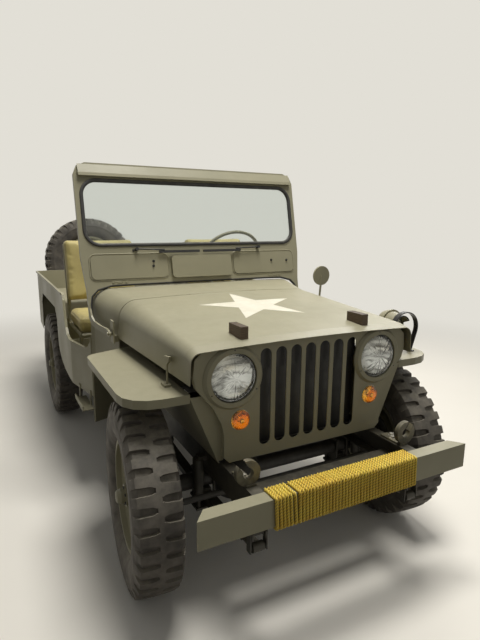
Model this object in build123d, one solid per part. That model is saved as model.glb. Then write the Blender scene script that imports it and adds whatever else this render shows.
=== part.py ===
from build123d import *
from math import atan2, cos, degrees, pi, radians, sin, sqrt, tan
import os

# Quarter-ton 4x4 field car, open body, in millimetres.
# X points to the car's left, Y to its rear, Z up. Stations along Y are counted
# from the front axle and moved at the end, so that the origin lies on the ground
# under the middle of the car.

# Running gear
WHEELBASE = 2032.0
TRACK = 1226.0
TYRE_OD = 736.0
TYRE_WIDTH = 178.0
TREAD_WIDTH = 152.0
LUG_COUNT = 36
LUG_SHARE = 0.6
LUG_DEPTH = 13.0
RIB_HALF = 9.0
BEAD_R = 205.0
BEAD_WIDTH = 116.0
RIM_FLANGE_R = 216.0
RIM_WALL = 5.0
RIM_DROP_R = 180.0
BEAD_GAP = 0.3
DRUM_R = 122.0
DRUM_WIDTH = 48.0
KINGPIN_X = 518.0
BALL_R = 55.0
PLATE_T = 3.5
PLATE_GAP = 0.5
HUB_BORE_R = 22.3
SPINDLE_R = 22.0
STEER_REST = 4.9
STEER_ARM = 165.0
ARM_TOP = 6.0
TIE_PIN_R = 7.7
TIE_ROD_R = 12.0
TIE_EYE = 28.0
AXLE_TUBE_R = 33.0
DIFF_X = -205.0
DIFF_R = 118.0
CASE_Y = (980.0, 1110.0)
CASE_Z = 445.0
PINION_Y = 205.0
SHAFT_R = 30.0

# Chassis frame
FRAME_WIDTH = 742.0
RAIL_WIDTH = 45.0
RAIL_HEIGHT = 100.0
RAIL_BOTTOM = 438.0
RAIL_WALL = 5.0
RAIL_REAR = 2680.0
BUMPER_HALF = 590.0
BUMPER_FRONT = -511.0
BUMPER_DEPTH = 55.0
BUMPER_WALL = 6.0
BUMPER_CHAMFER = 44.0
ROPE_D = 13.0
ROPE_X = (-325.5, 320.0)
SPRING_HALF = 455.0
SPRING_WIDTH = 43.0
SPRING_EYE_Z = 342.0
LEAF_T = 7.0
LEAF_COUNT = 5
SHACKLE_RISE = 52.0
SPRING_PIN_R = 7.7
PIN_GAP = 0.3
EAR_T = 6.0
U_BOLT_R = 6.0
DRAWBAR_HOLE_R = 17.0
SHOCK_OUT = 29.0
SHOCK_R = 23.0
SHOCK_Y = -72.0
MUFFLER_OUT = 99.0
MUFFLER_R = 52.0
PIPE_R = 19.0

# Body shell
SHEET = 4.0
BODY_HALF = 685.0
BODY_BOTTOM = 500.0
RAIL_TOP_Z = 990.0
BODY_FRONT = 812.0
FLARE_END = 1090.0
SIDE_GAP = 0.3
BODY_REAR = 2690.0
DOOR_SILL = 752.0
DOOR_REAR = 1250.0
LIP = 5.0
FLOOR_Z = 560.0
CARGO_FLOOR_Z = 640.0
CARGO_STEP_Y = 1560.0
WHEELHOUSE_IN = 458.0
WHEELHOUSE_TOP = 872.0
ARCH_R = 430.0
ARCH_TOP = 845.0
ARCH_MARGIN = 25.0
STEP_Y = (775.0, 1000.0)
STEP_Z = 440.0

# Nose
GRILLE_FRONT = -242.0
GRILLE_HALF = 488.0
GRILLE_BOTTOM = 548.0
GRILLE_T = 24.0
SLOT_COUNT = 7
SLOT_PITCH = 66.6
SLOT_WIDTH = 47.5
SLOT_Z = (590.0, 965.0)
HEADLAMP_X = 334.0
HEADLAMP_Z = 872.0
HEADLAMP_R = 90.0
LAMP_RING_R = 118.0
MARKER_X = 305.6
MARKER_Z = 708.5
MARKER_R = 38.0

# Hood and cowl sections: station, half width at the lower edge, half width where
# the side ends, height there, corner radius, height of the top at the corner and
# at the middle
HOOD_FRONT = -262.0
HOOD_REAR = 533.0
HOOD_LOW = 872.0
HOOD_GAP = 5.0
NOSE_SECTION = (HOOD_FRONT, 509.0, 505.0, 38.0, 983.0, 992.0)
BROW_SECTION = (-219.0, 511.0, 507.0, 40.0, 996.0, 1005.0)
HINGE_SECTION = (HOOD_REAR, 552.0, 541.0, 88.0, 1047.0, 1057.0)
COWL_SECTION = (790.0, 610.0, 606.0, 96.0, 1070.0, 1075.0)
DOOR_SECTION = (BODY_FRONT, 626.0, 619.0, 104.0, 1071.0, 1076.0)
FIREWALL_Y = 600.0
DASH_BOTTOM = 905.0
HINGE_Z = 1055.0
HINGE_HALF = 190.0

# Blackout lamp on the left fender, set in from the fender's edge and up from its top
BLACKOUT_IN = 114.0
BLACKOUT_Y = -32.0
BLACKOUT_RISE = 125.0
BLACKOUT_R = 62.0
GUARD_R = 76.0
GUARD_DROP = 10.0
GUARD_Y = -110.0
GUARD_WIDTH = 24.0
GUARD_T = 4.5
GUARD_TUCK = 18.0

# Front fenders
FENDER_TOP = 825.0
FENDER_HALF = 716.0
FENDER_FRONT = -218.0
FENDER_LIP = 32.0
FENDER_CORNER = 125.0
APRON_BOTTOM = 505.0

# Windshield: the plane of its front face leans back
WS_LEAN = 12.26
WS_BASE_Y = 776.0
WS_BASE_Z = 1000.0
WS_HALF = 650.0
WS_TOP = 716.0
WS_DEPTH = 26.0
WS_SKIN = 3.0
WS_OPEN_HALF = 619.0
WS_OPEN_LOW = 295.0
WS_OPEN_HIGH = 628.0
WS_OPEN_R = 78.0
WS_ARCH_TOP = 90.0
WS_ARCH_HALF = 620.0
WS_PIVOT = (584.0, 541.0, 893.0)
WS_PIN_R = 7.7
GLASS_T = 6.0

# Seats, controls and spare wheel
SEAT_WIDTH = 450.0
SEAT_X = 408.0
SEAT_FRONT = 1120.0
SEAT_BASE_Z = 775.0
CUSHION_T = 95.0
BACK_T = 90.0
BACK_TOP = 1300.0
STEER_WHEEL = (332.0, 1139.0, 1173.0)
STEER_WHEEL_R = 216.0
STEER_TILT = 32.0
COLUMN_R = 21.0
COLUMN_GAP = 2.0
SPARE_X = -235.0
SPARE_Z = 1055.0
SPARE_STANDOFF = 24.0

AXLE_Z = TYRE_OD / 2
EAR_GAP = RAIL_WIDTH / 2
HALF_TRACK = TRACK / 2
RAIL_OUT = FRAME_WIDTH / 2
RAIL_IN = RAIL_OUT - RAIL_WIDTH
RAIL_MID = RAIL_OUT - RAIL_WIDTH / 2
RAIL_TOP = RAIL_BOTTOM + RAIL_HEIGHT
SHOCK_X = RAIL_OUT + SHOCK_OUT
MUFFLER_X = -RAIL_OUT - MUFFLER_OUT
BLACKOUT = (FENDER_HALF - BLACKOUT_IN, BLACKOUT_Y, FENDER_TOP + BLACKOUT_RISE)
GUARD_Z = BLACKOUT[2] - GUARD_DROP
WS_OUT = (0, -cos(radians(WS_LEAN)), sin(radians(WS_LEAN)))
WS_PLANE = Plane(origin=(0, WS_BASE_Y, WS_BASE_Z), x_dir=(1, 0, 0), z_dir=WS_OUT)
SPARE_Y = BODY_REAR + SPARE_STANDOFF + TYRE_WIDTH / 2
REAR_REACH = SPARE_Y + TYRE_WIDTH / 2
SHIFT_Y = -(BUMPER_FRONT + REAR_REACH) / 2


def box(x0, x1, y0, y1, z0, z1):
    """Box between two corners."""
    return Pos((x0 + x1) / 2, (y0 + y1) / 2, (z0 + z1) / 2) * Box(x1 - x0, y1 - y0, z1 - z0)


def rod(start, end, radius):
    """Round bar between two points."""
    a = Vector(*start)
    b = Vector(*end)
    plane = Plane(origin=a, z_dir=(b - a))
    return extrude(plane * Circle(radius), amount=(b - a).length)


def bar_x(x0, x1, y, z, radius):
    """Round bar along X."""
    return Pos((x0 + x1) / 2, y, z) * Rot(0, 90, 0) * Cylinder(radius, x1 - x0)


def side_plate(points, x0, x1):
    """Outline of (y, z) points, extruded from x0 to x1."""
    face = Plane.YZ * make_face(Polyline(*points, close=True))
    return extrude(Pos(x0, 0, 0) * face, amount=x1 - x0)


def plan_plate(points, z0, z1):
    """Outline of (x, y) points, extruded from z0 to z1."""
    face = make_face(Polyline(*points, close=True))
    return extrude(Pos(0, 0, z0) * face, amount=z1 - z0)


def both(shape):
    """The shape and its mirror image across the car's middle plane."""
    return shape + mirror(shape, Plane.YZ)


def turned(profile):
    """Outline of (x, r) points, turned about the X axis."""
    face = make_face(Polyline(*profile, close=True))
    return revolve(face, Axis.X)


def save(name, shape):
    export_step(Pos(0, SHIFT_Y, 0) * shape, f"parts/{name}.step")


def arch_wire(section, inset, low):
    """Arch outline of a hood or cowl section, moved in by inset, closed at low."""
    y, foot, shoulder, radius, corner_z, top_z = section
    radius = radius - inset
    foot_x = foot - inset
    knee_x = shoulder - inset
    roof_z = corner_z - inset
    b = (knee_x, y, roof_z - radius)
    m = (knee_x - radius * (1 - cos(radians(45))), y, roof_z - radius * (1 - sin(radians(45))))
    c = (knee_x - radius, y, roof_z)
    top = (0, y, top_z - inset)
    left = [(-p[0], p[1], p[2]) for p in (b, m, c)]
    edges = [
        Line((foot_x, y, low), b),
        ThreePointArc(b, m, c),
        ThreePointArc(c, top, left[2]),
        ThreePointArc(left[2], left[1], left[0]),
        Line(left[0], (-foot_x, y, low)),
        Line((-foot_x, y, low), (foot_x, y, low)),
    ]
    return Face(Wire(edges))


def blend_section(a, b, y):
    """Section between two others, at the station y."""
    t = (y - a[0]) / (b[0] - a[0])
    return tuple(p + (q - p) * t for p, q in zip(a, b))


def arch_shell(sections, low, wall=SHEET):
    """Open-ended shell through hood or cowl sections."""
    before = blend_section(sections[0], sections[1], sections[0][0] - 1)
    after = blend_section(sections[-2], sections[-1], sections[-1][0] + 1)
    inside = [before] + list(sections[1:-1]) + [after]
    outer = loft([arch_wire(a, 0, low) for a in sections], ruled=True)
    inner = loft([arch_wire(a, wall, low - 5) for a in inside], ruled=True)
    return outer - inner


def tyre():
    """Tyre ring standing across the X axis: a carcass with a centre rib and two rows of lugs."""
    r = TYRE_OD / 2
    w = TYRE_WIDTH / 2
    t = TREAD_WIDTH / 2
    b = BEAD_WIDTH / 2
    base = r - LUG_DEPTH
    half = [(b, BEAD_R), (b, RIM_FLANGE_R + 1), (b + 10, RIM_FLANGE_R + 7)]
    half += [(w, BEAD_R + 62), (w, BEAD_R + 95), (t + 6, r - 40)]
    half += [(t, base), (RIB_HALF, base), (RIB_HALF, r)]
    carcass = turned(half + [(-x, z) for x, z in reversed(half)])
    outline = [(RIB_HALF - 1, base - 6), (RIB_HALF - 1, r - 0.5), (t - 18, r - 2)]
    outline += [(t + 6, r - 16), (t + 7, r - 47)]
    block = Plane.XZ * make_face(Polyline(*outline, close=True))
    lug = extrude(block, amount=pi * TYRE_OD / LUG_COUNT * LUG_SHARE / 2, both=True)
    lugs = []
    for k in range(LUG_COUNT):
        lugs.append(Rot(360 * k / LUG_COUNT, 0, 0) * lug)
        lugs.append(Rot(360 * (k + 0.5) / LUG_COUNT, 0, 0) * mirror(lug, Plane.YZ))
    return carcass + lugs


def rim(side, hub=True):
    """Pressed disc wheel about the X axis, with its drum, outer side towards side."""
    b = BEAD_WIDTH / 2 + BEAD_GAP
    seat = BEAD_R - BEAD_GAP
    outer = [(b, RIM_FLANGE_R), (b, seat), (38, seat - 2), (28, RIM_DROP_R)]
    outer += [(-28, RIM_DROP_R), (-38, seat - 2), (-b, seat), (-b, RIM_FLANGE_R)]
    outer += [(-b - RIM_WALL, RIM_FLANGE_R), (-b - RIM_WALL, seat - RIM_WALL)]
    outer += [(-42, seat - 2 - RIM_WALL), (-31, RIM_DROP_R - RIM_WALL), (31, RIM_DROP_R - RIM_WALL)]
    outer += [(42, seat - 2 - RIM_WALL), (b + RIM_WALL, seat - RIM_WALL), (b + RIM_WALL, RIM_FLANGE_R)]
    barrel = turned(outer)
    disc_points = [(14, 42), (14, 96), (30, 128), (24, RIM_DROP_R - RIM_WALL + 0.5)]
    disc_points += [(19, RIM_DROP_R - RIM_WALL + 0.5), (24, 130), (9, 98), (9, 42)]
    wheel = barrel + turned(disc_points)
    if hub:
        drum = Pos(9 - DRUM_WIDTH / 2, 0, 0) * Rot(0, 90, 0) * Cylinder(DRUM_R, DRUM_WIDTH)
        drum -= Pos(3 - DRUM_WIDTH / 2, 0, 0) * Rot(0, 90, 0) * Cylinder(DRUM_R - 8, DRUM_WIDTH)
        centre = bar_x(-20, 62, 0, 0, 42) + bar_x(62, 78, 0, 0, 30)
        wheel = wheel + drum + centre - bar_x(-60, 20, 0, 0, HUB_BORE_R)
    return wheel if side > 0 else mirror(wheel, Plane.YZ)


def steered(shape, side):
    """Turn a front wheel piece about its kingpin to the parked steering angle."""
    place = Pos(side * KINGPIN_X, 0, 0)
    return place * Rot(0, 0, -STEER_REST) * Pos(-side * KINGPIN_X, 0, 0) * shape


def channel(y, low, high, half_depth=28.0, wall=5.0):
    """Pressed crossmember between the rails' webs, open to the rear."""
    reach = RAIL_OUT - RAIL_WALL - PIN_GAP
    beam = box(-reach, reach, y - half_depth, y + half_depth, low, high)
    return beam - box(-RAIL_OUT, RAIL_OUT, y - half_depth + wall, y + half_depth + 1, low + wall, high - wall)


def make_frame():
    """Two channel rails with the ears that carry the springs."""
    y0 = BUMPER_FRONT + BUMPER_DEPTH
    rail = box(RAIL_IN, RAIL_OUT, y0, RAIL_REAR, RAIL_BOTTOM, RAIL_TOP)
    hollow = (RAIL_BOTTOM + RAIL_WALL, RAIL_TOP - RAIL_WALL)
    rail -= box(RAIL_IN - 1, RAIL_OUT - RAIL_WALL, y0 - 1, RAIL_REAR + 1, *hollow)
    inside = (RAIL_BOTTOM + BUMPER_WALL, RAIL_TOP - BUMPER_WALL)
    rail += box(RAIL_IN, RAIL_OUT, y0 - BUMPER_DEPTH + BUMPER_WALL, y0 + 8, *inside)
    for axle_y in (0.0, WHEELBASE):
        for end, drop in ((-1, SHACKLE_RISE), (1, 0.0)):
            y = axle_y + end * SPRING_HALF
            z = SPRING_EYE_Z + drop
            lead = 16.0 if end < 0 else -34.0
            top = RAIL_BOTTOM + 40
            edge = [(y + lead, top), (y + lead + 58, top), (y + 17, z - 16), (y - 17, z - 16)]
            ear = side_plate(edge + [(y - 17, z + 8), (y + lead, RAIL_BOTTOM - 18)], 0, EAR_T)
            for x in (RAIL_MID - EAR_GAP - EAR_T, RAIL_MID + EAR_GAP):
                rail += Pos(x, 0, 0) * ear
            rail -= bar_x(RAIL_MID - 60, RAIL_MID + 60, y, z, SPRING_PIN_R + PIN_GAP)
    return both(rail)


def make_cross_members():
    """Crossmembers between the rails, the rear one with the drawbar plate."""
    parts = channel(-330.0, RAIL_BOTTOM + 6, RAIL_BOTTOM + 40)
    for y in (1180.0, 1700.0):
        parts += channel(y, CASE_Z + SHAFT_R, RAIL_TOP - 12)
    reach = RAIL_IN - PIN_GAP
    rear = box(-reach, reach, RAIL_REAR - 60, RAIL_REAR, RAIL_BOTTOM, RAIL_TOP)
    rear -= box(-RAIL_IN + 8, RAIL_IN - 8, RAIL_REAR - 70, RAIL_REAR - 6, RAIL_BOTTOM + 6, RAIL_TOP - 6)
    rear += box(-55, 55, RAIL_REAR, RAIL_REAR + 46, RAIL_BOTTOM - 4, RAIL_BOTTOM + 14)
    gusset = [(RAIL_REAR - 6, RAIL_BOTTOM), (RAIL_REAR + 40, RAIL_BOTTOM), (RAIL_REAR - 6, RAIL_TOP - 20)]
    rear += both(side_plate(gusset, 44, 52))
    return parts + rear - Pos(0, RAIL_REAR + 24, RAIL_BOTTOM) * Cylinder(DRAWBAR_HOLE_R, 60)


def make_bumper():
    z0, z1 = RAIL_BOTTOM, RAIL_TOP
    y0, y1 = BUMPER_FRONT, BUMPER_FRONT + BUMPER_DEPTH
    beam = box(-BUMPER_HALF, BUMPER_HALF, y0, y1, z0, z1)
    wall = BUMPER_WALL
    beam -= box(-BUMPER_HALF - 1, BUMPER_HALF + 1, y0 + wall, y1 + 1, z0 + wall, z1 - wall)
    corner = [(BUMPER_HALF + 1, y0), (BUMPER_HALF + 1, y1 + 1)]
    corner += [(BUMPER_HALF - BUMPER_CHAMFER, y1 + 1), (BUMPER_HALF, y0)]
    return beam - both(plan_plate(corner, z0 - 1, z1 + 1))


def make_tow_hooks():
    """Forged hooks that stand across the rails, behind the bumper."""
    outer = 46.0
    inner = 20.0
    foot_t = 9.0
    ring = Cylinder(outer, 20) - Cylinder(inner, 22)
    ring -= Rot(0, 0, 122) * box(6, 70, -14, 14, -20, 20)
    x = RAIL_OUT - 11
    z = RAIL_TOP + PIN_GAP + foot_t + outer - 4
    hook = Pos(x, -400.0, z) * Rot(90, 0, 0) * mirror(ring, Plane.YZ)
    hook += box(RAIL_IN + 4, RAIL_OUT - 3, -412, -300, RAIL_TOP + PIN_GAP, RAIL_TOP + foot_t)
    return both(hook)


def make_rope():
    y0, y1 = BUMPER_FRONT, BUMPER_FRONT + BUMPER_DEPTH
    d = ROPE_D
    outer = box(ROPE_X[0], ROPE_X[1], y0 - d, y1 + d, RAIL_BOTTOM - d, RAIL_TOP + d)
    outer = fillet(outer.edges().filter_by(Axis.X), d - 1)
    inner = box(ROPE_X[0] - 1, ROPE_X[1] + 1, y0 - 0.3, y1 + 0.3, RAIL_BOTTOM - 0.3, RAIL_TOP + 0.3)
    return outer - inner


def spring_profile(top):
    """Side outline of a leaf pack as (y, z) points, its longest leaf on top."""
    def height(y):
        return top + (SPRING_EYE_Z + LEAF_T / 2 - top) * (y / SPRING_HALF) ** 2

    steps = 6
    upper = [(SPRING_HALF * k / steps, height(SPRING_HALF * k / steps)) for k in range(steps, -steps - 1, -1)]
    lower = []
    for i in range(LEAF_COUNT):
        half = SPRING_HALF - i * 74
        lower += [(half, height(half) - i * LEAF_T), (half, height(half) - (i + 1) * LEAF_T)]
    left = [(-y, z) for y, z in lower[1:]]
    return upper + left + [(0, top - LEAF_COUNT * LEAF_T)] + list(reversed(lower[1:]))


def make_springs():
    top = AXLE_Z - AXLE_TUBE_R - 12
    half_w = SPRING_WIDTH / 2
    spring = side_plate(spring_profile(top), -half_w, half_w)
    for end in (-1, 1):
        spring += bar_x(-half_w, half_w, end * SPRING_HALF, SPRING_EYE_Z, 17)
    saddle = box(-half_w, half_w, -34, 34, top - 3, top + 12)
    spring += saddle - bar_x(-SPRING_WIDTH, SPRING_WIDTH, 0, AXLE_Z, AXLE_TUBE_R + 0.2)
    low = top - LEAF_T * LEAF_COUNT
    spring += box(-half_w - 20, half_w + 20, -46, 46, low - 8, low + 2)
    spring += box(half_w, SHOCK_X - RAIL_MID + 14, SHOCK_Y - 14, 0, low - 8, low + 2)
    bolt_y = AXLE_TUBE_R + U_BOLT_R + PIN_GAP
    crown_z = AXLE_Z + AXLE_TUBE_R + PIN_GAP
    for sx in (-1, 1):
        x = sx * (half_w + U_BOLT_R + 2)
        spring += box(x - U_BOLT_R, x + U_BOLT_R, -bolt_y - 7, bolt_y + 7, crown_z, crown_z + 2 * U_BOLT_R)
        for sy in (-1, 1):
            spring += rod((x, sy * bolt_y, low - 18), (x, sy * bolt_y, crown_z + 5), U_BOLT_R - 0.5)
    reach = EAR_GAP + EAR_T + 6.5
    for y, z in ((-SPRING_HALF, 0.0), (-SPRING_HALF, SHACKLE_RISE), (SPRING_HALF, 0.0)):
        spring += bar_x(-reach, reach, y, SPRING_EYE_Z + z, SPRING_PIN_R)
    link_z = (SPRING_EYE_Z - 13, SPRING_EYE_Z + SHACKLE_RISE + 13)
    link = box(0, 5, -SPRING_HALF - 13, -SPRING_HALF + 13, *link_z)
    spring += Pos(EAR_GAP + EAR_T + 0.5, 0, 0) * link + Pos(-EAR_GAP - EAR_T - 5.5, 0, 0) * link
    left = Pos(RAIL_MID, 0, 0) * spring + Pos(RAIL_MID, WHEELBASE, 0) * spring
    return both(left)


def make_shocks():
    low = AXLE_Z - AXLE_TUBE_R - 12 - LEAF_T * LEAF_COUNT + 2.3
    shock = rod((SHOCK_X, SHOCK_Y, low), (SHOCK_X, SHOCK_Y, low + 60), 9)
    shock += rod((SHOCK_X, SHOCK_Y, low + 58), (SHOCK_X, SHOCK_Y, 440), SHOCK_R - 3)
    shock += rod((SHOCK_X, SHOCK_Y, 392), (SHOCK_X, SHOCK_Y, 500), SHOCK_R)
    shock += box(RAIL_OUT + 0.3, SHOCK_X + 6, SHOCK_Y - 18, SHOCK_Y + 18, 492, 512)
    pair = shock + Pos(0, WHEELBASE, 0) * shock
    return both(pair)


def make_axle(y, front):
    inner_end = KINGPIN_X - BALL_R * 0.7 if front else HALF_TRACK - DRUM_WIDTH
    axle = bar_x(-inner_end, inner_end, 0, AXLE_Z, AXLE_TUBE_R)
    bowl = Pos(DIFF_X, 0, AXLE_Z) * Sphere(DIFF_R)
    bowl &= box(DIFF_X - 78, DIFF_X + 78, -DIFF_R, DIFF_R, 0, 2 * AXLE_Z)
    nose = 1 if front else -1
    pinion = rod((DIFF_X, nose * 60, AXLE_Z + 12), (DIFF_X, nose * PINION_Y, AXLE_Z + 12), 44)
    axle += bowl + pinion
    if front:
        axle += both(Pos(KINGPIN_X, 0, AXLE_Z) * Sphere(BALL_R))
        axle -= both(box(KINGPIN_X + 12, KINGPIN_X + 80, -80, 80, AXLE_Z - 80, AXLE_Z + 80))
    else:
        x = HALF_TRACK + 9 - DRUM_WIDTH - PLATE_GAP
        plate = bar_x(x - PLATE_T, x, 0, AXLE_Z, DRUM_R + 4)
        axle += both(plate + bar_x(inner_end - 1, HALF_TRACK + 16, 0, AXLE_Z, SPINDLE_R))
    return Pos(0, y, 0) * axle


def make_knuckle(side):
    inner = BALL_R + 0.3
    outer = BALL_R + 11
    lip = -16.0
    floor = 45.0
    end = HALF_TRACK + 16 - KINGPIN_X
    back = HALF_TRACK - KINGPIN_X + 9 - DRUM_WIDTH - PLATE_GAP
    inner_a = (lip, sqrt(inner ** 2 - lip ** 2))
    inner_b = (floor, sqrt(inner ** 2 - floor ** 2))
    outer_a = (lip, sqrt(outer ** 2 - lip ** 2))
    outer_b = (floor, sqrt(outer ** 2 - floor ** 2))
    flange = [inner_b, (floor, 0), (end, 0), (end, SPINDLE_R), (back, SPINDLE_R), (back, DRUM_R + 4)]
    flange += [(back - PLATE_T, DRUM_R + 4), (back - PLATE_T, 78), (floor, 78), outer_b]
    outline = [
        ThreePointArc(inner_a, (inner * 0.28, inner * 0.96), inner_b),
        Polyline(*flange),
        ThreePointArc(outer_b, (outer * 0.28, outer * 0.96), outer_a),
        Line(outer_a, inner_a),
    ]
    knuckle = revolve(make_face(outline), Axis.X)
    for end_z in (-1, 1):
        knuckle += Pos(0, 0, end_z * (BALL_R + 15)) * Cylinder(20, 22)
    arm = box(-14, 14, -STEER_ARM, -BALL_R - 5, ARM_TOP - 14, ARM_TOP)
    arm += Pos(0, -STEER_ARM, ARM_TOP - 7) * Cylinder(18, 14)
    arm += Pos(0, -STEER_ARM, ARM_TOP + TIE_EYE / 2) * Cylinder(TIE_PIN_R, TIE_EYE + 14)
    knuckle += arm
    if side < 0:
        knuckle = mirror(knuckle, Plane.YZ)
    return steered(Pos(side * KINGPIN_X, 0, AXLE_Z) * knuckle, side)


def arm_end(side):
    """Centre of the tie rod's joint at the parked steering angle."""
    a = radians(STEER_REST)
    return (side * KINGPIN_X - STEER_ARM * sin(a), -STEER_ARM * cos(a), AXLE_Z + ARM_TOP + 0.3 + TIE_EYE / 2)


def make_tie_rod():
    left = arm_end(1)
    right = arm_end(-1)
    bar = rod(right, left, TIE_ROD_R)
    for end in (left, right):
        bar += Pos(*end) * Cylinder(TIE_PIN_R + 13, TIE_EYE)
    for end in (left, right):
        bar -= Pos(*end) * Cylinder(TIE_PIN_R + PIN_GAP, 60)
    return bar


def make_engine():
    block = box(-150, 150, 30, 590, 505, 690) + box(-95, 60, 60, 560, 690, 850)
    block += box(-110, 110, 210, 520, 420, 505)
    gearbox = box(-95, 95, 590, CASE_Y[0], 440, FLOOR_Z - 12)
    transfer = box(-265, 95, CASE_Y[0], CASE_Y[1], CASE_Z - 50, FLOOR_Z - 12)
    return block + gearbox + transfer


def make_propeller_shafts():
    joint_z = AXLE_Z + 12
    case_x = DIFF_X - 20
    shafts = None
    for y0, y1, z0, z1, x0, x1 in (
        (PINION_Y, CASE_Y[0], joint_z, CASE_Z, DIFF_X, case_x),
        (CASE_Y[1], WHEELBASE - PINION_Y, CASE_Z, joint_z, case_x, DIFF_X),
    ):
        start = (x0, y0 + 40, z0)
        end = (x1, y1 - 40, z1)
        shaft = rod((x0, y0 + 0.3, z0), start, SHAFT_R) + rod(end, (x1, y1 - 0.3, z1), SHAFT_R)
        shaft += rod(start, end, SHAFT_R - 5)
        shaft += Pos(*start) * Sphere(SHAFT_R - 1) + Pos(*end) * Sphere(SHAFT_R - 1)
        shafts = shaft if shafts is None else shafts + shaft
    return shafts


def make_exhaust():
    r = PIPE_R
    muffler_y = (900.0, 1300.0)
    inside = 41.0 - RAIL_IN
    route = [
        (-150.3, 330.0, 600.0),
        (inside, 330.0, 600.0),
        (inside, 560.0, RAIL_BOTTOM - 33),
        (MUFFLER_X, 760.0, RAIL_BOTTOM - 33),
        (MUFFLER_X, muffler_y[0] + 5, 470.0),
    ]
    pipe = None
    for a, b in zip(route, route[1:]):
        run = rod(a, b, r)
        pipe = run if pipe is None else pipe + run
    for corner in route[1:-1]:
        pipe += Pos(*corner) * Sphere(r)
    mid_y = sum(muffler_y) / 2
    pipe += Pos(MUFFLER_X, mid_y, 470) * Rot(90, 0, 0) * Cylinder(MUFFLER_R, muffler_y[1] - muffler_y[0])
    tail = [(MUFFLER_X, muffler_y[1] - 5, 470.0), (MUFFLER_X, 1420.0, 440.0), (MUFFLER_X - 130, 1520.0, 430.0)]
    pipe += rod(tail[0], tail[1], r - 3) + Pos(*tail[1]) * Sphere(r - 3) + rod(tail[1], tail[2], r - 3)
    return pipe - rod((MUFFLER_X - 90, 1489.23, 433.08), (MUFFLER_X - 131, 1520.77, 429.92), r - 5)


def make_radiator():
    y0 = GRILLE_FRONT + GRILLE_T + 1
    core = box(-238, 238, y0 + 12, y0 + 70, 585, 880)
    tank = box(-238, 238, y0 + 2, y0 + 80, 880, 958)
    base = box(-250, 250, y0, y0 + 76, 562, 585)
    foot = both(box(150, 210, y0 + 10, y0 + 60, RAIL_TOP, 562))
    reach = RAIL_OUT + 6 - PIN_GAP
    cross = box(-reach, reach, y0 + 10, y0 + 60, RAIL_TOP + 0.3, RAIL_TOP + 12)
    neck = Pos(0, y0 + 40, 958) * Cylinder(28, 30)
    return core + tank + base + foot + cross + neck


def grille_outline(inset):
    """Right half of the grille's outline as (x, z) points, from the middle top."""
    top = NOSE_SECTION[4] - 3 - HOOD_GAP / 2 - inset
    half = GRILLE_HALF - inset
    return [
        (0, NOSE_SECTION[5] - 3 - HOOD_GAP / 2 - inset),
        (half - 34, top),
        (half - 6, top - 24),
        (half, 895),
        (half - 12, 847),
        (half - 76, 768),
        (half - 108, 705),
        (half - 118, 660),
        (half - 118, GRILLE_BOTTOM + 22 + inset),
        (half - 140, GRILLE_BOTTOM + inset),
    ]


def make_grille():
    right = grille_outline(0)
    outline = right + [(-x, z) for x, z in reversed(right[1:])]
    face = Plane.XZ * make_face(Polyline(*outline, close=True))
    panel = extrude(Pos(0, GRILLE_FRONT, 0) * face, amount=-GRILLE_T)
    inner = grille_outline(SHEET)
    hollow_line = inner + [(-x, z) for x, z in reversed(inner[1:])]
    hollow = Plane.XZ * make_face(Polyline(*hollow_line, close=True))
    panel -= extrude(Pos(0, GRILLE_FRONT + SHEET, 0) * hollow, amount=-GRILLE_T)
    mid = sum(SLOT_Z) / 2
    for i in range(SLOT_COUNT):
        x = (i - (SLOT_COUNT - 1) / 2) * SLOT_PITCH
        slot = SlotOverall(SLOT_Z[1] - SLOT_Z[0], SLOT_WIDTH, rotation=90)
        panel -= extrude(Pos(x, GRILLE_FRONT + 20, mid) * (Plane.XZ * slot), amount=40, both=True)
    ring = Cylinder(LAMP_RING_R, 16) - Cylinder(HEADLAMP_R + 1, 60)
    rims = ring.edges().filter_by(GeomType.CIRCLE).group_by(Axis.Z)[-1]
    ring = chamfer(rims.sort_by(SortBy.LENGTH)[-1:], 10)
    for side in (-1, 1):
        place = Pos(side * HEADLAMP_X, GRILLE_FRONT, HEADLAMP_Z) * Rot(90, 0, 0)
        panel -= place * Cylinder(HEADLAMP_R + 1, 80)
        panel += (place * Pos(0, 0, 4) * ring) & extrude(Pos(0, GRILLE_FRONT - 30, 0) * face, amount=-60)
        panel -= Pos(side * MARKER_X, GRILLE_FRONT, MARKER_Z) * Rot(90, 0, 0) * Cylinder(24, 60)
    return panel


def make_headlamps():
    bowl = [(0, -58), (44, -52), (86, -8), (HEADLAMP_R, -8)]
    glass = [(HEADLAMP_R, 14), (84, 20), (48, 27), (0, 30)]
    lamp = revolve(make_face(Polyline(*bowl, *glass, close=True)), Axis.Y)
    placed = Pos(HEADLAMP_X, GRILLE_FRONT, HEADLAMP_Z) * Rot(180, 0, 0) * lamp
    return both(placed)


def make_markers():
    lens = Cylinder(MARKER_R, 10) + Pos(0, 0, 9) * Cylinder(MARKER_R - 8, 10)
    body = Pos(0, 0, -19) * Cylinder(23.5, 30)
    lamp = Pos(MARKER_X, GRILLE_FRONT - 5.3, MARKER_Z) * Rot(90, 0, 0) * (lens + body)
    return both(lamp)


def guard_side(radius):
    """Right half of the guard's outline as (x, z) points: its crown's end and its foot."""
    a = radians(GUARD_TUCK)
    knee = (radius * cos(a), -radius * sin(a))
    foot_z = FENDER_TOP + PIN_GAP - GUARD_Z
    foot = (knee[0] - (knee[1] - foot_z) * tan(a), foot_z)
    return knee, foot


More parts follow.
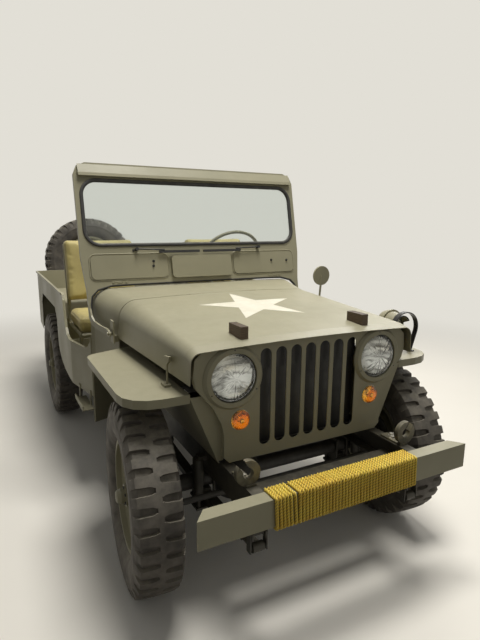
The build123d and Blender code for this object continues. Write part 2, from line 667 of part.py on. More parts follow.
def make_guard():
    """Strap bent over the blackout lamp, its legs drawn in towards the fender."""
    knee, foot = guard_side(GUARD_R)
    inner_knee, inner_foot = guard_side(GUARD_R - GUARD_T)
    far = [(-x, z) for x, z in (knee, foot, inner_foot, inner_knee)]
    edges = [
        Line(foot, knee),
        ThreePointArc(knee, (0, GUARD_R), far[0]),
        Polyline(*far),
        ThreePointArc(far[3], (0, GUARD_R - GUARD_T), inner_knee),
        Polyline(inner_knee, inner_foot, foot),
    ]
    guard = extrude(Plane.XZ * make_face(edges), amount=GUARD_WIDTH)
    for side in (-1, 1):
        toe = sorted((side * (foot[0] - GUARD_T - 1), side * (foot[0] + 20)))
        guard += box(toe[0], toe[1], -GUARD_WIDTH, 0, foot[1], foot[1] + 5)
    return Pos(BLACKOUT[0] + 7, GUARD_Y, GUARD_Z) * guard


def make_blackout_lamp():
    x, y, z = BLACKOUT
    r = BLACKOUT_R
    bullet = [(0, 44), (14, 44), (36, 39), (53, 26), (r - 1, 4), (r, -8)]
    bullet += [(r + 2.5, -8), (r + 2.5, -18), (r - 6, -18)]
    bullet += [(r - 8, -40), (r - 13, -40), (r - 16, -30), (0, -30)]
    barrel = revolve(make_face(Polyline(*bullet, close=True)), Axis.Y)
    visor_line = [(r - 8, -38), (r - 15, -86), (r - 19, -86), (r - 12, -38)]
    visor = revolve(make_face(Polyline(*visor_line, close=True)), Axis.Y)
    visor &= side_plate([(-37, 2), (-37, 90), (-90, 90), (-90, 21)], -90, 90)
    lamp = Pos(x, y, z) * (barrel + visor)
    lamp += rod((x, y, FENDER_TOP + 0.3), (x, y, z - r + 6), 12)
    lamp += Pos(x, y, FENDER_TOP + 4.3) * Cylinder(30, 8)
    return lamp + make_guard()


def make_fenders():
    outer = [
        (FENDER_HALF, FENDER_FRONT + FENDER_CORNER),
        (FENDER_HALF - 8, FENDER_FRONT + 74),
        (FENDER_HALF - 34, FENDER_FRONT + 34),
        (FENDER_HALF - 76, FENDER_FRONT + 9),
        (FENDER_HALF - FENDER_CORNER, FENDER_FRONT),
    ]
    rear = [(524, 520), (FENDER_HALF - 28, 462), (FENDER_HALF - 6, 440), (FENDER_HALF, 415)]
    inner_front = GRILLE_HALF + 2
    plan = [(inner_front, FENDER_FRONT)] + [(526, 520)] + rear[1:] + outer
    solid = plan_plate(plan, FENDER_TOP - FENDER_LIP, FENDER_TOP)
    small = [(inner_front - 5, FENDER_FRONT + SHEET), (520, 530)]
    small += [(FENDER_HALF - 28 - 3, 466), (FENDER_HALF - 6 - 4, 438), (FENDER_HALF - SHEET, 413)]
    small += [(x - SHEET * 0.9, y + SHEET * 0.9) for x, y in outer]
    hollow = plan_plate(small, FENDER_TOP - FENDER_LIP - 1, FENDER_TOP - SHEET)
    top = solid - hollow
    apron_line = [(526, 520), (FENDER_HALF - 28, 462), (FENDER_HALF - 24, 458)]
    apron_line += [(FENDER_HALF - 30, 458 - SHEET), (526, 516)]
    apron = plan_plate(apron_line, APRON_BOTTOM, FENDER_TOP - SHEET + 0.5)
    skirt_top = (492.0, FENDER_TOP - 2)
    skirt_low = (RAIL_OUT + 6, RAIL_TOP + 4)
    strip = [skirt_top, (skirt_top[0] + 4, skirt_top[1]), (skirt_low[0] + 4, skirt_low[1]), skirt_low]
    face = Plane.XZ * make_face(Polyline(*strip, close=True))
    skirt = extrude(Pos(0, FENDER_FRONT + PIN_GAP, 0) * face, amount=-(516 - FENDER_FRONT - PIN_GAP))
    grille_edge = [(436, 812), (400, 768), (368, 705), (358, 660), (358, 575), (362, 552)]
    closing_line = [(skirt_top[0] - 3, 812)] + grille_edge + [(skirt_low[0] + 6, 552)]
    closing = Plane.XZ * make_face(Polyline(*closing_line, close=True))
    skirt += extrude(Pos(0, FENDER_FRONT + PIN_GAP, 0) * closing, amount=-SHEET)
    flange = box(GRILLE_HALF + 2, 524, FENDER_FRONT, 520, FENDER_TOP - SHEET, FENDER_TOP)
    return both(top + apron + skirt + flange)


def make_hood():
    sections = [NOSE_SECTION, BROW_SECTION, HINGE_SECTION]
    shell = arch_shell(sections, HOOD_LOW, 3.0)
    hinge = bar_x(-HINGE_HALF, HINGE_HALF, HOOD_REAR, HINGE_Z, 4)
    return shell + hinge


def make_hood_blocks():
    z = 996.0
    run = box(264, 295, -221, -126, z, 1047)
    skins = [arch_wire(a, -0.3, HOOD_LOW) for a in (NOSE_SECTION, BROW_SECTION, HINGE_SECTION)]
    return both(run - loft(skins[:2], ruled=True) - loft(skins[1:], ruled=True))


def make_catches():
    x = 524.0
    y = -100.0
    lever = side_plate([(y - 30, 944), (y + 28, 934), (y + 30, 918), (y - 2, 908), (y - 24, 926)], x, x + 9)
    stem = rod((x + 5, y + 6, 830), (x + 5, y + 3, 922), 4)
    base = box(x - 4, x + 20, y - 10, y + 34, FENDER_TOP + 0.3, FENDER_TOP + 9)
    return both(lever + stem + base)


def make_cowl():
    start = blend_section(HINGE_SECTION, COWL_SECTION, HOOD_REAR + HOOD_GAP)
    upper = arch_shell([start, COWL_SECTION, DOOR_SECTION], BODY_BOTTOM)
    wall_section = blend_section(HINGE_SECTION, COWL_SECTION, FIREWALL_Y)
    wall = extrude(arch_wire(wall_section, SHEET - 0.5, FLOOR_Z), amount=SHEET)
    dash_section = blend_section(COWL_SECTION, DOOR_SECTION, BODY_FRONT - 8)
    dash = extrude(arch_wire(dash_section, SHEET - 0.5, DASH_BOTTOM), amount=SHEET)
    pin_x, pin_y, pin_z = WS_PIVOT
    bracket = box(pin_x - 14, pin_x - 8, pin_y - 26, pin_y + 30, pin_z - 44, pin_z + 62)
    foot = box(540, pin_x - 8, pin_y + 2, pin_y + 28, pin_z - 44, pin_z - 12)
    pin = bar_x(pin_x - 10, pin_x + 16, pin_y, pin_z, WS_PIN_R)
    cowl = upper + wall + dash + both(bracket + foot + pin)
    return cowl - column_bore()


def side_profile():
    """Outline of a body side as (y, z) points, with its door and wheel openings."""
    axle = WHEELBASE
    door = [
        (BODY_FRONT + SIDE_GAP, BODY_BOTTOM),
        (BODY_FRONT + SIDE_GAP, DOOR_SILL + 76),
        (BODY_FRONT + 10, DOOR_SILL + 42),
        (BODY_FRONT + 40, DOOR_SILL + 12),
        (BODY_FRONT + 84, DOOR_SILL),
        (DOOR_REAR - 112, DOOR_SILL),
        (DOOR_REAR - 62, DOOR_SILL + 12),
        (DOOR_REAR - 22, DOOR_SILL + 44),
        (DOOR_REAR, DOOR_SILL + 92),
        (DOOR_REAR + 26, RAIL_TOP_Z - 40),
        (DOOR_REAR + 44, RAIL_TOP_Z - 10),
        (DOOR_REAR + 62, RAIL_TOP_Z),
        (BODY_REAR, RAIL_TOP_Z),
        (BODY_REAR, BODY_BOTTOM + 62),
    ]
    arch = [
        (axle + ARCH_R + 20, BODY_BOTTOM + 40),
        (axle + ARCH_R, 640),
        (axle + ARCH_R - 12, ARCH_TOP - 70),
        (axle + ARCH_R - 80, ARCH_TOP),
        (axle - ARCH_R + 80, ARCH_TOP),
        (axle - ARCH_R + 12, ARCH_TOP - 70),
        (axle - ARCH_R, 640),
        (axle - ARCH_R - 28, 582),
        (axle - ARCH_R - 110, 534),
        (axle - ARCH_R - 240, BODY_BOTTOM + 8),
        (axle - ARCH_R - 372, BODY_BOTTOM),
    ]
    return door + arch


def flare_x(y):
    """Half width of the body at a station of its flare, under the door."""
    start = DOOR_SECTION[1] + 1
    return start + (BODY_HALF - 8 - start) * (y - BODY_FRONT) / (FLARE_END - 40 - BODY_FRONT)


def side_strip(out, inside):
    """Plan of a body side from out to inside of its outer face, as (x, y) points."""
    face = [(flare_x(y), y) for y in (BODY_FRONT, FLARE_END - 40)]
    face += [(BODY_HALF, FLARE_END), (BODY_HALF, BODY_REAR)]
    return [(x + out, y) for x, y in face] + [(x - inside, y) for x, y in reversed(face)]


def wheelhouse_line(inset):
    """Outline of a wheelhouse as (y, z) points, moved in by inset, open below."""
    reach = ARCH_R + ARCH_MARGIN - inset
    top = WHEELHOUSE_TOP - inset
    foot = FLOOR_Z + 1 - 3 * inset
    line = [(-reach, foot), (-reach, top - 90), (-reach + 80, top)]
    line += [(reach - 80, top), (reach, top - 90), (reach, foot)]
    return [(WHEELBASE + y, z) for y, z in line]


def make_wheelhouses():
    house = side_plate(wheelhouse_line(0), WHEELHOUSE_IN, BODY_HALF - SHEET - SIDE_GAP)
    return both(house - side_plate(wheelhouse_line(SHEET), WHEELHOUSE_IN + SHEET, BODY_HALF))


def make_body_sides():
    """Side sheets that flare out under the doors, with a rolled lip round each opening."""
    outline = side_plate(side_profile(), 600, BODY_HALF + 20)
    side = outline & plan_plate(side_strip(0, SHEET), BODY_BOTTOM - 1, RAIL_TOP_Z + 1)
    lip = outline - Pos(0, LIP, -LIP) * outline
    lip &= plan_plate(side_strip(LIP, 2 * LIP), DOOR_SILL - LIP, RAIL_TOP_Z + 1)
    lip &= box(600, BODY_HALF + 20, BODY_FRONT + 60, DOOR_REAR + 70, DOOR_SILL - LIP, RAIL_TOP_Z)
    rail = box(BODY_HALF - SHEET, BODY_HALF + 10, DOOR_REAR + 66, BODY_REAR, RAIL_TOP_Z - 12, RAIL_TOP_Z)
    y0, y1 = STEP_Y
    step = box(BODY_HALF - 54, BODY_HALF + 6, y0, y1, STEP_Z, STEP_Z + 5)
    step += box(BODY_HALF + 1, BODY_HALF + 6, y0, y1, STEP_Z, STEP_Z + 26)
    step = fillet(step.edges().filter_by(Axis.Z).sort_by(Axis.X)[-1:], 3)
    for y in (y0 + 70, y1 - 12):
        x = flare_x(y)
        step += box(x - SHEET + 1, x + SHEET, y - 9, y + 9, STEP_Z, BODY_BOTTOM + 24)
    return both(side + lip + rail + step)


def make_floor():
    inner = BODY_HALF - SHEET - 0.3
    strip = side_strip(0, SHEET + 2 * SIDE_GAP)[:3:-1]
    edge = [(strip[0][0], BODY_FRONT + SIDE_GAP)] + strip[1:3] + [(inner, CARGO_STEP_Y)]
    front = plan_plate(edge + [(-x, y) for x, y in reversed(edge)], FLOOR_Z, FLOOR_Z + SHEET)
    toe_y = 724.0
    toe_in = blend_section(HINGE_SECTION, COWL_SECTION, toe_y)[1] - SHEET - 1.5
    cowl_in = COWL_SECTION[1] - SHEET - 1.5
    toe = [(toe_in, toe_y), (cowl_in, COWL_SECTION[0]), (cowl_in + 14, BODY_FRONT + 1)]
    front += plan_plate(toe + [(-x, y) for x, y in reversed(toe)], FLOOR_Z, FLOOR_Z + SHEET)
    top_y = FIREWALL_Y + SHEET + 1.5
    ramp_line = [(toe_y, FLOOR_Z), (toe_y + 2, FLOOR_Z + SHEET), (top_y + 3, 700), (top_y, 697)]
    ramp_half = blend_section(HINGE_SECTION, COWL_SECTION, top_y)[1] - SHEET - 5
    ramp = side_plate(ramp_line, -ramp_half, ramp_half)
    riser = box(-inner, inner, CARGO_STEP_Y - SHEET, CARGO_STEP_Y, FLOOR_Z, CARGO_FLOOR_Z)
    back = BODY_REAR - SHEET - 0.3
    reach = ARCH_R + ARCH_MARGIN + SIDE_GAP
    house = (WHEELBASE - reach, WHEELBASE + reach)
    cargo = box(-inner, inner, CARGO_STEP_Y - 1, back, CARGO_FLOOR_Z - SHEET, CARGO_FLOOR_Z)
    cut_z = (CARGO_FLOOR_Z - 20, CARGO_FLOOR_Z + 20)
    cargo -= both(box(WHEELHOUSE_IN - 0.3, inner + 1, *house, *cut_z))
    floor = front + ramp + riser + cargo
    for y in (880.0, 1480.0):
        floor += both(box(RAIL_IN + 4, RAIL_OUT - 4, y - 30, y + 30, RAIL_TOP, FLOOR_Z + 1))
    for y in (1800.0, 2300.0, 2640.0):
        floor += both(box(RAIL_IN + 4, RAIL_OUT - 4, y - 30, y + 30, RAIL_TOP, CARGO_FLOOR_Z - 1))
    return floor - column_bore()


def make_tail():
    half = BODY_HALF - SHEET - 0.3
    low = RAIL_TOP_Z - 12
    panel = box(-half, half, BODY_REAR - SHEET, BODY_REAR, BODY_BOTTOM + 62, RAIL_TOP_Z)
    rail = box(-BODY_HALF, BODY_HALF, BODY_REAR + 0.3, BODY_REAR + 14, low, RAIL_TOP_Z)
    rail += box(-half, half, BODY_REAR - SHEET, BODY_REAR + 14, low, RAIL_TOP_Z)
    return panel + rail


def make_seat_frames():
    tube = 12.0
    seat = None
    w = SEAT_WIDTH / 2
    y0 = SEAT_FRONT
    y1 = SEAT_FRONT + 420
    for x in (-w + 20, w - 20):
        leg_front = rod((x, y0 + 30, FLOOR_Z + SHEET + 0.2), (x, y0 + 30, SEAT_BASE_Z - 12), tube)
        leg_rear = rod((x, y1 - 30, FLOOR_Z + SHEET + 0.2), (x, y1 - 30, SEAT_BASE_Z - 12), tube)
        back = rod((x, y1 - 30, SEAT_BASE_Z - 14), (x, y1 + 66, BACK_TOP - 40), tube)
        runner = rod((x, y0 + 10, SEAT_BASE_Z - 14), (x, y1, SEAT_BASE_Z - 14), tube)
        bars = leg_front + leg_rear + back + runner
        seat = bars if seat is None else seat + bars
    low = SEAT_BASE_Z - 14
    for y, z in ((y0 + 10, low), (y1, low), (y1 + 60, BACK_TOP - 80), (y1 + 20, SEAT_BASE_Z + 180)):
        seat += bar_x(-w + 20, w - 20, y, z, tube)
    return Pos(SEAT_X, 0, 0) * seat + Pos(-SEAT_X, 0, 0) * seat


def make_cushions():
    w = SEAT_WIDTH / 2
    y0 = SEAT_FRONT
    y1 = SEAT_FRONT + 420
    base = box(-w, w, y0 - 10, y1 - 62, SEAT_BASE_Z - 1.7, SEAT_BASE_Z + CUSHION_T)
    base = fillet(base.edges(), 18)
    lean = degrees(atan2(96, BACK_TOP - 40 - SEAT_BASE_Z + 14))
    height = BACK_TOP - SEAT_BASE_Z - 125
    back = box(-w, w, -BACK_T, 0, 0, height)
    back = fillet(back.edges(), 18)
    back = Pos(0, y1 - 15.8, SEAT_BASE_Z + 125) * Rot(-lean, 0, 0) * back
    pair = base + back
    return Pos(SEAT_X, 0, 0) * pair + Pos(-SEAT_X, 0, 0) * pair


def column_axis():
    """Unit vector up the steering column."""
    a = radians(STEER_TILT)
    return Vector(0, cos(a), sin(a))


def column_bore():
    """Clearance hole for the steering column through the sheets it passes."""
    low = Vector(*STEER_WHEEL) - column_axis() * 900
    high = Vector(*STEER_WHEEL) - column_axis() * 200
    return rod(tuple(low), tuple(high), COLUMN_R + COLUMN_GAP)


def make_column():
    top = Vector(*STEER_WHEEL) - column_axis() * 38.3
    low = Vector(*STEER_WHEEL) - column_axis() * 1040
    tube = rod(tuple(low), tuple(top), COLUMN_R)
    gear = box(low.X - 45, low.X + 28, low.Y - 60, low.Y + 60, low.Z - 70, low.Z + 50)
    clamp = box(low.X - 20, RAIL_OUT - 2, low.Y - 50, low.Y + 50, RAIL_TOP + 0.3, low.Z - 60)
    return tube + gear + clamp


def make_steering_wheel():
    ring = Torus(STEER_WHEEL_R - 10, 10)
    hub = Cylinder(26, 40) + Pos(0, 0, 22) * Cylinder(34, 12)
    wheel = ring + Pos(0, 0, -18) * hub
    for k in range(3):
        a = radians(90 + 120 * k)
        tip = ((STEER_WHEEL_R - 14) * cos(a), (STEER_WHEEL_R - 14) * sin(a), 0)
        wheel += rod((20 * cos(a), 20 * sin(a), -20), tip, 6)
    plane = Plane(origin=STEER_WHEEL, x_dir=(1, 0, 0), z_dir=tuple(column_axis()))
    return plane * wheel


def make_levers():
    levers = None
    for x, y, z, lean in (
        # knob's place, and how far forward of it the foot stands
        (0.0, 1000.0, 920.0, 90.0),
        (-70.0, 1050.0, 790.0, 40.0),
        (-110.0, 1060.0, 790.0, 40.0),
    ):
        stick = rod((x, y - lean, FLOOR_Z + SHEET + 10), (x, y, z), 7)
        stick += Pos(x, y, z + 8) * Sphere(20)
        boot = Pos(x, y - lean, FLOOR_Z + SHEET + 9.3) * Cone(36, 16, 18)
        levers = stick + boot if levers is None else levers + stick + boot
    for x in (225.0, 300.0):
        levers += rod((x, 636, 672), (x, 764, 724), 8) + Pos(x, 764, 724) * Rot(-50, 0, 0) * Box(56, 62, 9)
    return levers


def make_spare_rim():
    return Pos(SPARE_X, SPARE_Y, SPARE_Z) * Rot(0, 0, 90) * rim(1, hub=False)


def make_carrier():
    face_y = SPARE_Y + 9 - 0.3
    post_y = (BODY_REAR + 14.5, BODY_REAR + SPARE_STANDOFF - 0.5)
    low = 720.0
    carrier = box(SPARE_X - 60, SPARE_X + 60, post_y[0], post_y[1], low, SPARE_Z + 60)
    carrier += box(SPARE_X - 60, SPARE_X + 60, BODY_REAR + 0.3, post_y[0] + 1, low, low + 170)
    carrier += box(SPARE_X - 45, SPARE_X + 45, post_y[0], face_y - 5, SPARE_Z - 40, SPARE_Z + 40)
    carrier += Pos(SPARE_X, face_y - 5, SPARE_Z) * Rot(90, 0, 0) * Cylinder(88, 10)
    carrier += Pos(SPARE_X, face_y + 8, SPARE_Z) * Rot(90, 0, 0) * Cylinder(41.5, 16)
    return carrier


def make_windshield():
    out_line = [(WS_HALF, WS_TOP - 60), (WS_HALF, 236), (634, 76), (632, -62), (WS_ARCH_HALF, -62)]
    out_line += [(WS_ARCH_HALF, 0), (WS_ARCH_HALF - 8, 40), (WS_ARCH_HALF - 42, 72)]
    out_line += [(WS_ARCH_HALF - 110, WS_ARCH_TOP)]
    crown = [(WS_HALF - 60, WS_TOP), (WS_HALF - 18, WS_TOP - 18)]
    half = crown + out_line
    outline = half + [(-x, v) for x, v in reversed(half)]
    face = make_face(Polyline(*outline, close=True))
    opening = RectangleRounded(2 * WS_OPEN_HALF, WS_OPEN_HIGH - WS_OPEN_LOW, WS_OPEN_R)
    opening = Pos(0, (WS_OPEN_LOW + WS_OPEN_HIGH) / 2) * opening
    solid = extrude(face, amount=-WS_DEPTH) - extrude(opening, amount=-WS_DEPTH)
    inner = offset(face, -WS_SKIN)
    keep = offset(opening, WS_SKIN)
    pocket = extrude(Pos(0, 0, -WS_SKIN) * (inner - keep), amount=-WS_DEPTH)
    frame = solid - pocket
    header = make_face(Polyline((648, 0), (646, 17), (662, 15), (WS_TOP - 8, 0), close=True))
    frame += extrude(Plane.YZ * header, amount=WS_HALF - 22, both=True)
    for x0, x1 in ((-605, -200), (200, 605)):
        pad = Pos((x0 + x1) / 2, 181) * RectangleRounded(x1 - x0, 122, 26)
        frame += extrude(pad, amount=5)
    return WS_PLANE * frame


def make_ws_arms():
    strip = [(632, 790), (628, 745), (607, 640), (594, 575), (594, 515)]
    plan = strip + [(x - 9, y) for x, y in reversed(strip)]
    side = [(795, 990), (778, 990), (752, 946), (722, 924), (660, 914), (541, 909), (517, 900)]
    side += [(517, 886), (541, 877), (660, 886), (742, 897), (782, 926), (795, 944)]
    arm = plan_plate(plan, 850, 1020) & side_plate(side, 500, 700)
    pin_x, pin_y, pin_z = WS_PIVOT
    arm -= bar_x(pin_x - 60, pin_x + 60, pin_y, pin_z, WS_PIN_R + PIN_GAP)
    return both(arm)


def make_glass():
    g = PIN_GAP
    pane = RectangleRounded(2 * (WS_OPEN_HALF - g), WS_OPEN_HIGH - WS_OPEN_LOW - 2 * g, WS_OPEN_R - g)
    glass = extrude(Pos(0, (WS_OPEN_LOW + WS_OPEN_HIGH) / 2, -9) * pane, amount=-GLASS_T)
    return WS_PLANE * glass


def make_vent():
    lid = extrude(Pos(0, 172, 0.3) * RectangleRounded(356, 120, 22), amount=18)
    lid -= extrude(Pos(0, 169, 0) * RectangleRounded(346, 118, 18), amount=14)
    return WS_PLANE * lid


def make_wipers():
    v = 270.0
    wiper = Pos(365, v, 12.3) * Cylinder(9, 24)
    wiper += rod((365, v, 20), (215, v - 6, 20), 4)
    wiper += box(12, 245, v - 22, v - 10, 10, 22)
    return WS_PLANE * both(wiper)


def make_mirror():
    y = 600.0
    foot = (600.6, y, 896.0)
    elbow = (656.0, y, 902.0)
    head = (673.0, y, 1105.0)
    stalk = rod(foot, elbow, 6) + Pos(*elbow) * Sphere(6) + rod(elbow, head, 6)
    dish = Pos(head[0], y + 4, head[2]) * Rot(90, 0, 0) * Cylinder(56, 10)
    return stalk + dish


def make_tail_lamps():
    lamp = Pos(560, BODY_REAR + 18.3, 760) * Rot(90, 0, 0) * Cylinder(40, 36)
    return both(lamp)


NODES = {
    "chassis_frame": make_frame,
    "cross_members": make_cross_members,
    "front_bumper": make_bumper,
    "tow_hooks": make_tow_hooks,
    "rope_winding": make_rope,
    "leaf_springs": make_springs,
    "shock_absorbers": make_shocks,
    "engine_block": make_engine,
    "propeller_shafts": make_propeller_shafts,
    "exhaust": make_exhaust,
    "radiator": make_radiator,
    "grille_panel": make_grille,
    "headlamps": make_headlamps,
    "marker_lamps": make_markers,
    "blackout_lamp": make_blackout_lamp,
    "front_fenders": make_fenders,
    "hood": make_hood,
    "hood_blocks": make_hood_blocks,
    "hood_catches": make_catches,
    "cowl": make_cowl,
    "body_sides": make_body_sides,
    "wheelhouses": make_wheelhouses,
    "body_floor": make_floor,
    "tail_panel": make_tail,
    "seat_frames": make_seat_frames,
    "seat_cushions": make_cushions,
    "steering_column": make_column,
    "steering_wheel": make_steering_wheel,
    "control_levers": make_levers,
    "spare_carrier": make_carrier,
    "spare_rim": make_spare_rim,
    "windshield_glass": make_glass,
    "vent_cover": make_vent,
    "wipers": make_wipers,
    "mirror": make_mirror,
    "tail_lamps": make_tail_lamps,
    "tie_rod": make_tie_rod,
}


def main():
    os.makedirs("parts", exist_ok=True)
    for name, make in NODES.items():
        save(name, make())
    save("axle_front", make_axle(0, True))
    save("axle_rear", make_axle(WHEELBASE, False))
    save("windshield_frame", make_windshield() + make_ws_arms())
    ring = tyre()
    save("spare_tyre", Pos(SPARE_X, SPARE_Y, SPARE_Z) * Rot(0, 0, 90) * ring)
    for side, name in ((1, "left"), (-1, "right")):
        save(f"knuckle_{name}", make_knuckle(side))
        save(f"front_{name}_tyre", steered(Pos(side * HALF_TRACK, 0, AXLE_Z) * ring, side))
        save(f"front_{name}_rim", steered(Pos(side * HALF_TRACK, 0, AXLE_Z) * rim(side), side))
        save(f"rear_{name}_tyre", Pos(side * HALF_TRACK, WHEELBASE, AXLE_Z) * ring)
        save(f"rear_{name}_rim", Pos(side * HALF_TRACK, WHEELBASE, AXLE_Z) * rim(side))


main()
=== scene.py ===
"""Looks of a quarter-ton 4x4 field car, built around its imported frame."""

import math

import bmesh
import bpy
from bpy.props import FloatProperty, FloatVectorProperty, IntProperty, IntVectorProperty, PointerProperty
from mathutils import Matrix, Vector
from mathutils.bvhtree import BVHTree


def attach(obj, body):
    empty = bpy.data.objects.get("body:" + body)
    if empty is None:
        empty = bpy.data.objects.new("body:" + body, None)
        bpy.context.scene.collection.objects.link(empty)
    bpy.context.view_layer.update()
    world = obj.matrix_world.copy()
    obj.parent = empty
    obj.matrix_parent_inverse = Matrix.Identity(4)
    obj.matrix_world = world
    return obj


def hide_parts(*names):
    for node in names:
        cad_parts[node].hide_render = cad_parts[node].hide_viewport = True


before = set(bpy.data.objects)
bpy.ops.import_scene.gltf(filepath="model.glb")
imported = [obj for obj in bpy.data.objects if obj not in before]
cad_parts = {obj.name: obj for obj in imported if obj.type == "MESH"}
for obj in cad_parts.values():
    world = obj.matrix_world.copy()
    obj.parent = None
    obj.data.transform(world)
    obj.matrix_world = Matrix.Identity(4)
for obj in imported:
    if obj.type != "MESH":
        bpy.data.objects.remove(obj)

bl_info = {
    "name": "Field Car Dresser",
    "version": (1, 0, 0),
    "blender": (4, 5, 0),
    "location": "View3D > Sidebar > Field Car",
    "description": "Dresses the packed frame of an open 4x4 field car",
    "category": "Object",
}

# Measures of the car in millimetres, with Y counted from the front axle. A place is its
# X, Y and Z, and of two pieces that mirror each other it is the left one's.
SHIFT_Y = -1190.5
WHEELBASE = 2032.0
HALF_TRACK = 613.0
AXLE_Z = 368.0
KINGPIN_X = 518.0
STEER_REST = 4.9
SPARE = (-235.0, 2803.0, 1055.0)
GRILLE_FRONT = -242.0
HEADLAMP = (334.0, GRILLE_FRONT, 872.0)
MARKER = (305.6, GRILLE_FRONT, 708.5)
MARKER_R = 38.0
BLACKOUT = (602.0, -62.0, 950.0)
GUARD_BACK = -108.0
TAIL_LAMP = (560.0, 2690.0, 760.0)

# Windshield: Y and Z of its foot, and its lean in degrees. The rest is measured across
# the car and up the face from that foot: the opening's half width, edges and corner, and
# the pressed pads' place, half sizes and corner.
WS_BASE = (776.0, 1000.0)
WS_LEAN = 12.26
WS_OPENING = (619.0, 295.0, 628.0, 78.0)
WS_PADS = (402.5, 181.0, 202.5, 61.0, 26.0)
WS_NUTS = ((-277.0, 206.0), (-279.0, 181.0), (453.0, 191.0), (560.0, 188.0), (-379.0, 266.0))
WS_LOOPS = ((-485.0, 104.0), (-444.0, 104.0), (449.0, 104.0), (491.0, 104.0))

# Dash gauges: X, Z and radius
DASH_FACE = 808.0
GAUGES = (
    (0.0, 985.0, 44.0),
    (-96.0, 1012.0, 26.0), (96.0, 1012.0, 26.0),
    (-96.0, 952.0, 26.0), (96.0, 952.0, 26.0),
)

SIDES = ((1, "left"), (-1, "right"))

# Bumper's section, front to back and low to high, with what the rope covers of its width
BUMPER_BOX = (-511.0, -456.0, 438.0, 538.0)
ROPE_SPAN = (-318.5, 313.0)
ROPE_CORNER = 11.0
HOOK_BOLTS = ((362.0, -330.0), (346.0, -352.0))
HOOK_FOOT = 547.0

# Seat pads: name, size in metres, place, lean in degrees and the axis of their thickness
PADS = (
    ("base", (0.444, 0.362, 0.080), (408.0, 1294.0, 822.0), 0.0, 2),
    ("back", (0.444, 0.078, 0.388), (408.0, 1531.0, 1098.0), -10.45, 1),
)

# Rings of nuts: how many, radius, angle of the first, foot, width and height of each
WHEEL_NUTS = (5, 70.0, 18.0, 14.0, 20.0, 16.0)
FLANGE_BOLTS = (6, 33.5, 30.0, 62.0, 8.5, 5.0)
SPARE_NUTS = (3, 66.0, 30.0, 14.0, 20.0, 16.0)

MM = Matrix.Translation((0, SHIFT_Y / 1000, 0)) @ Matrix.Scale(0.001, 4)


def axes(x, y, z, origin=(0, 0, 0)):
    """Matrix from a local frame to the car's, by its three axes and its origin."""
    m = Matrix((x, y, z)).transposed().to_4x4()
    m.translation = Vector(origin)
    return m


def facing_front(x, y, z):
    """Local Z looks ahead of the car, local Y up."""
    return axes((1, 0, 0), (0, 0, 1), (0, -1, 0), (x, y, z))


def facing_rear(x, y, z):
    """Local Z looks behind the car, local Y up."""
    return axes((-1, 0, 0), (0, 0, 1), (0, 1, 0), (x, y, z))


def facing_side(x, y, z, side):
    """Local Z looks out of the car's side, local Y up."""
    return axes((0, side, 0), (0, 0, 1), (side, 0, 0), (x, y, z))


def windshield_frame():
    """Local X across the car, Y up the windshield, Z out of its front face."""
    lean = math.radians(WS_LEAN)
    up = (0, math.sin(lean), math.cos(lean))
    out = (0, -math.cos(lean), math.sin(lean))
    return axes((1, 0, 0), up, out, (0, WS_BASE[0], WS_BASE[1]))


def on_side(place, side):
    """The place itself on the left, side 1, or its mirror image on the right, side -1."""
    x, y, z = place
    return side * x, y, z


def around(radius, degrees):
    """Point at a radius and an angle in a local XY plane."""
    a = math.radians(degrees)
    return radius * math.cos(a), radius * math.sin(a)


def wheel_frame(end, side):
    """Local Z out of the wheel along its axle, at the parked steering angle."""
    y = 0.0 if end == "front" else WHEELBASE
    place = facing_side(side * HALF_TRACK, y, AXLE_Z, side)
    if end == "rear":
        return place
    pin = Matrix.Translation((side * KINGPIN_X, 0, 0))
    return pin @ Matrix.Rotation(math.radians(-STEER_REST), 4, "Z") @ pin.inverted() @ place


def heading(points, i):
    """Direction in which a line of points runs at one of them."""
    return (points[min(i + 1, len(points) - 1)] - points[max(i - 1, 0)]).normalized()


def skin(bm, rows, closed_u=False, closed_v=False, caps=False):
    """Quads over rows of points, each row the same length, with their row and column."""
    nu, nv = len(rows), len(rows[0])
    quads = []
    for i in range(nu if closed_u else nu - 1):
        a, b = rows[i], rows[(i + 1) % nu]
        for j in range(nv if closed_v else nv - 1):
            k = (j + 1) % nv
            quads.append((bm.faces.new((a[j], a[k], b[k], b[j])), i, j))
    if caps:
        bm.faces.new(rows[0][::-1])
        bm.faces.new(rows[-1])
    return quads


POLE = 0.02  # radius of a turned piece's tip, which a ring of points needs
JOIN = 0.01  # distance at which a piece's points join
# Bolt heads: the washer's radius and the bevel as shares, and the washer's thickness
WASHER_R = 0.72
WASHER_HEIGHT = 1.2
HEAD_BEVEL = 0.16


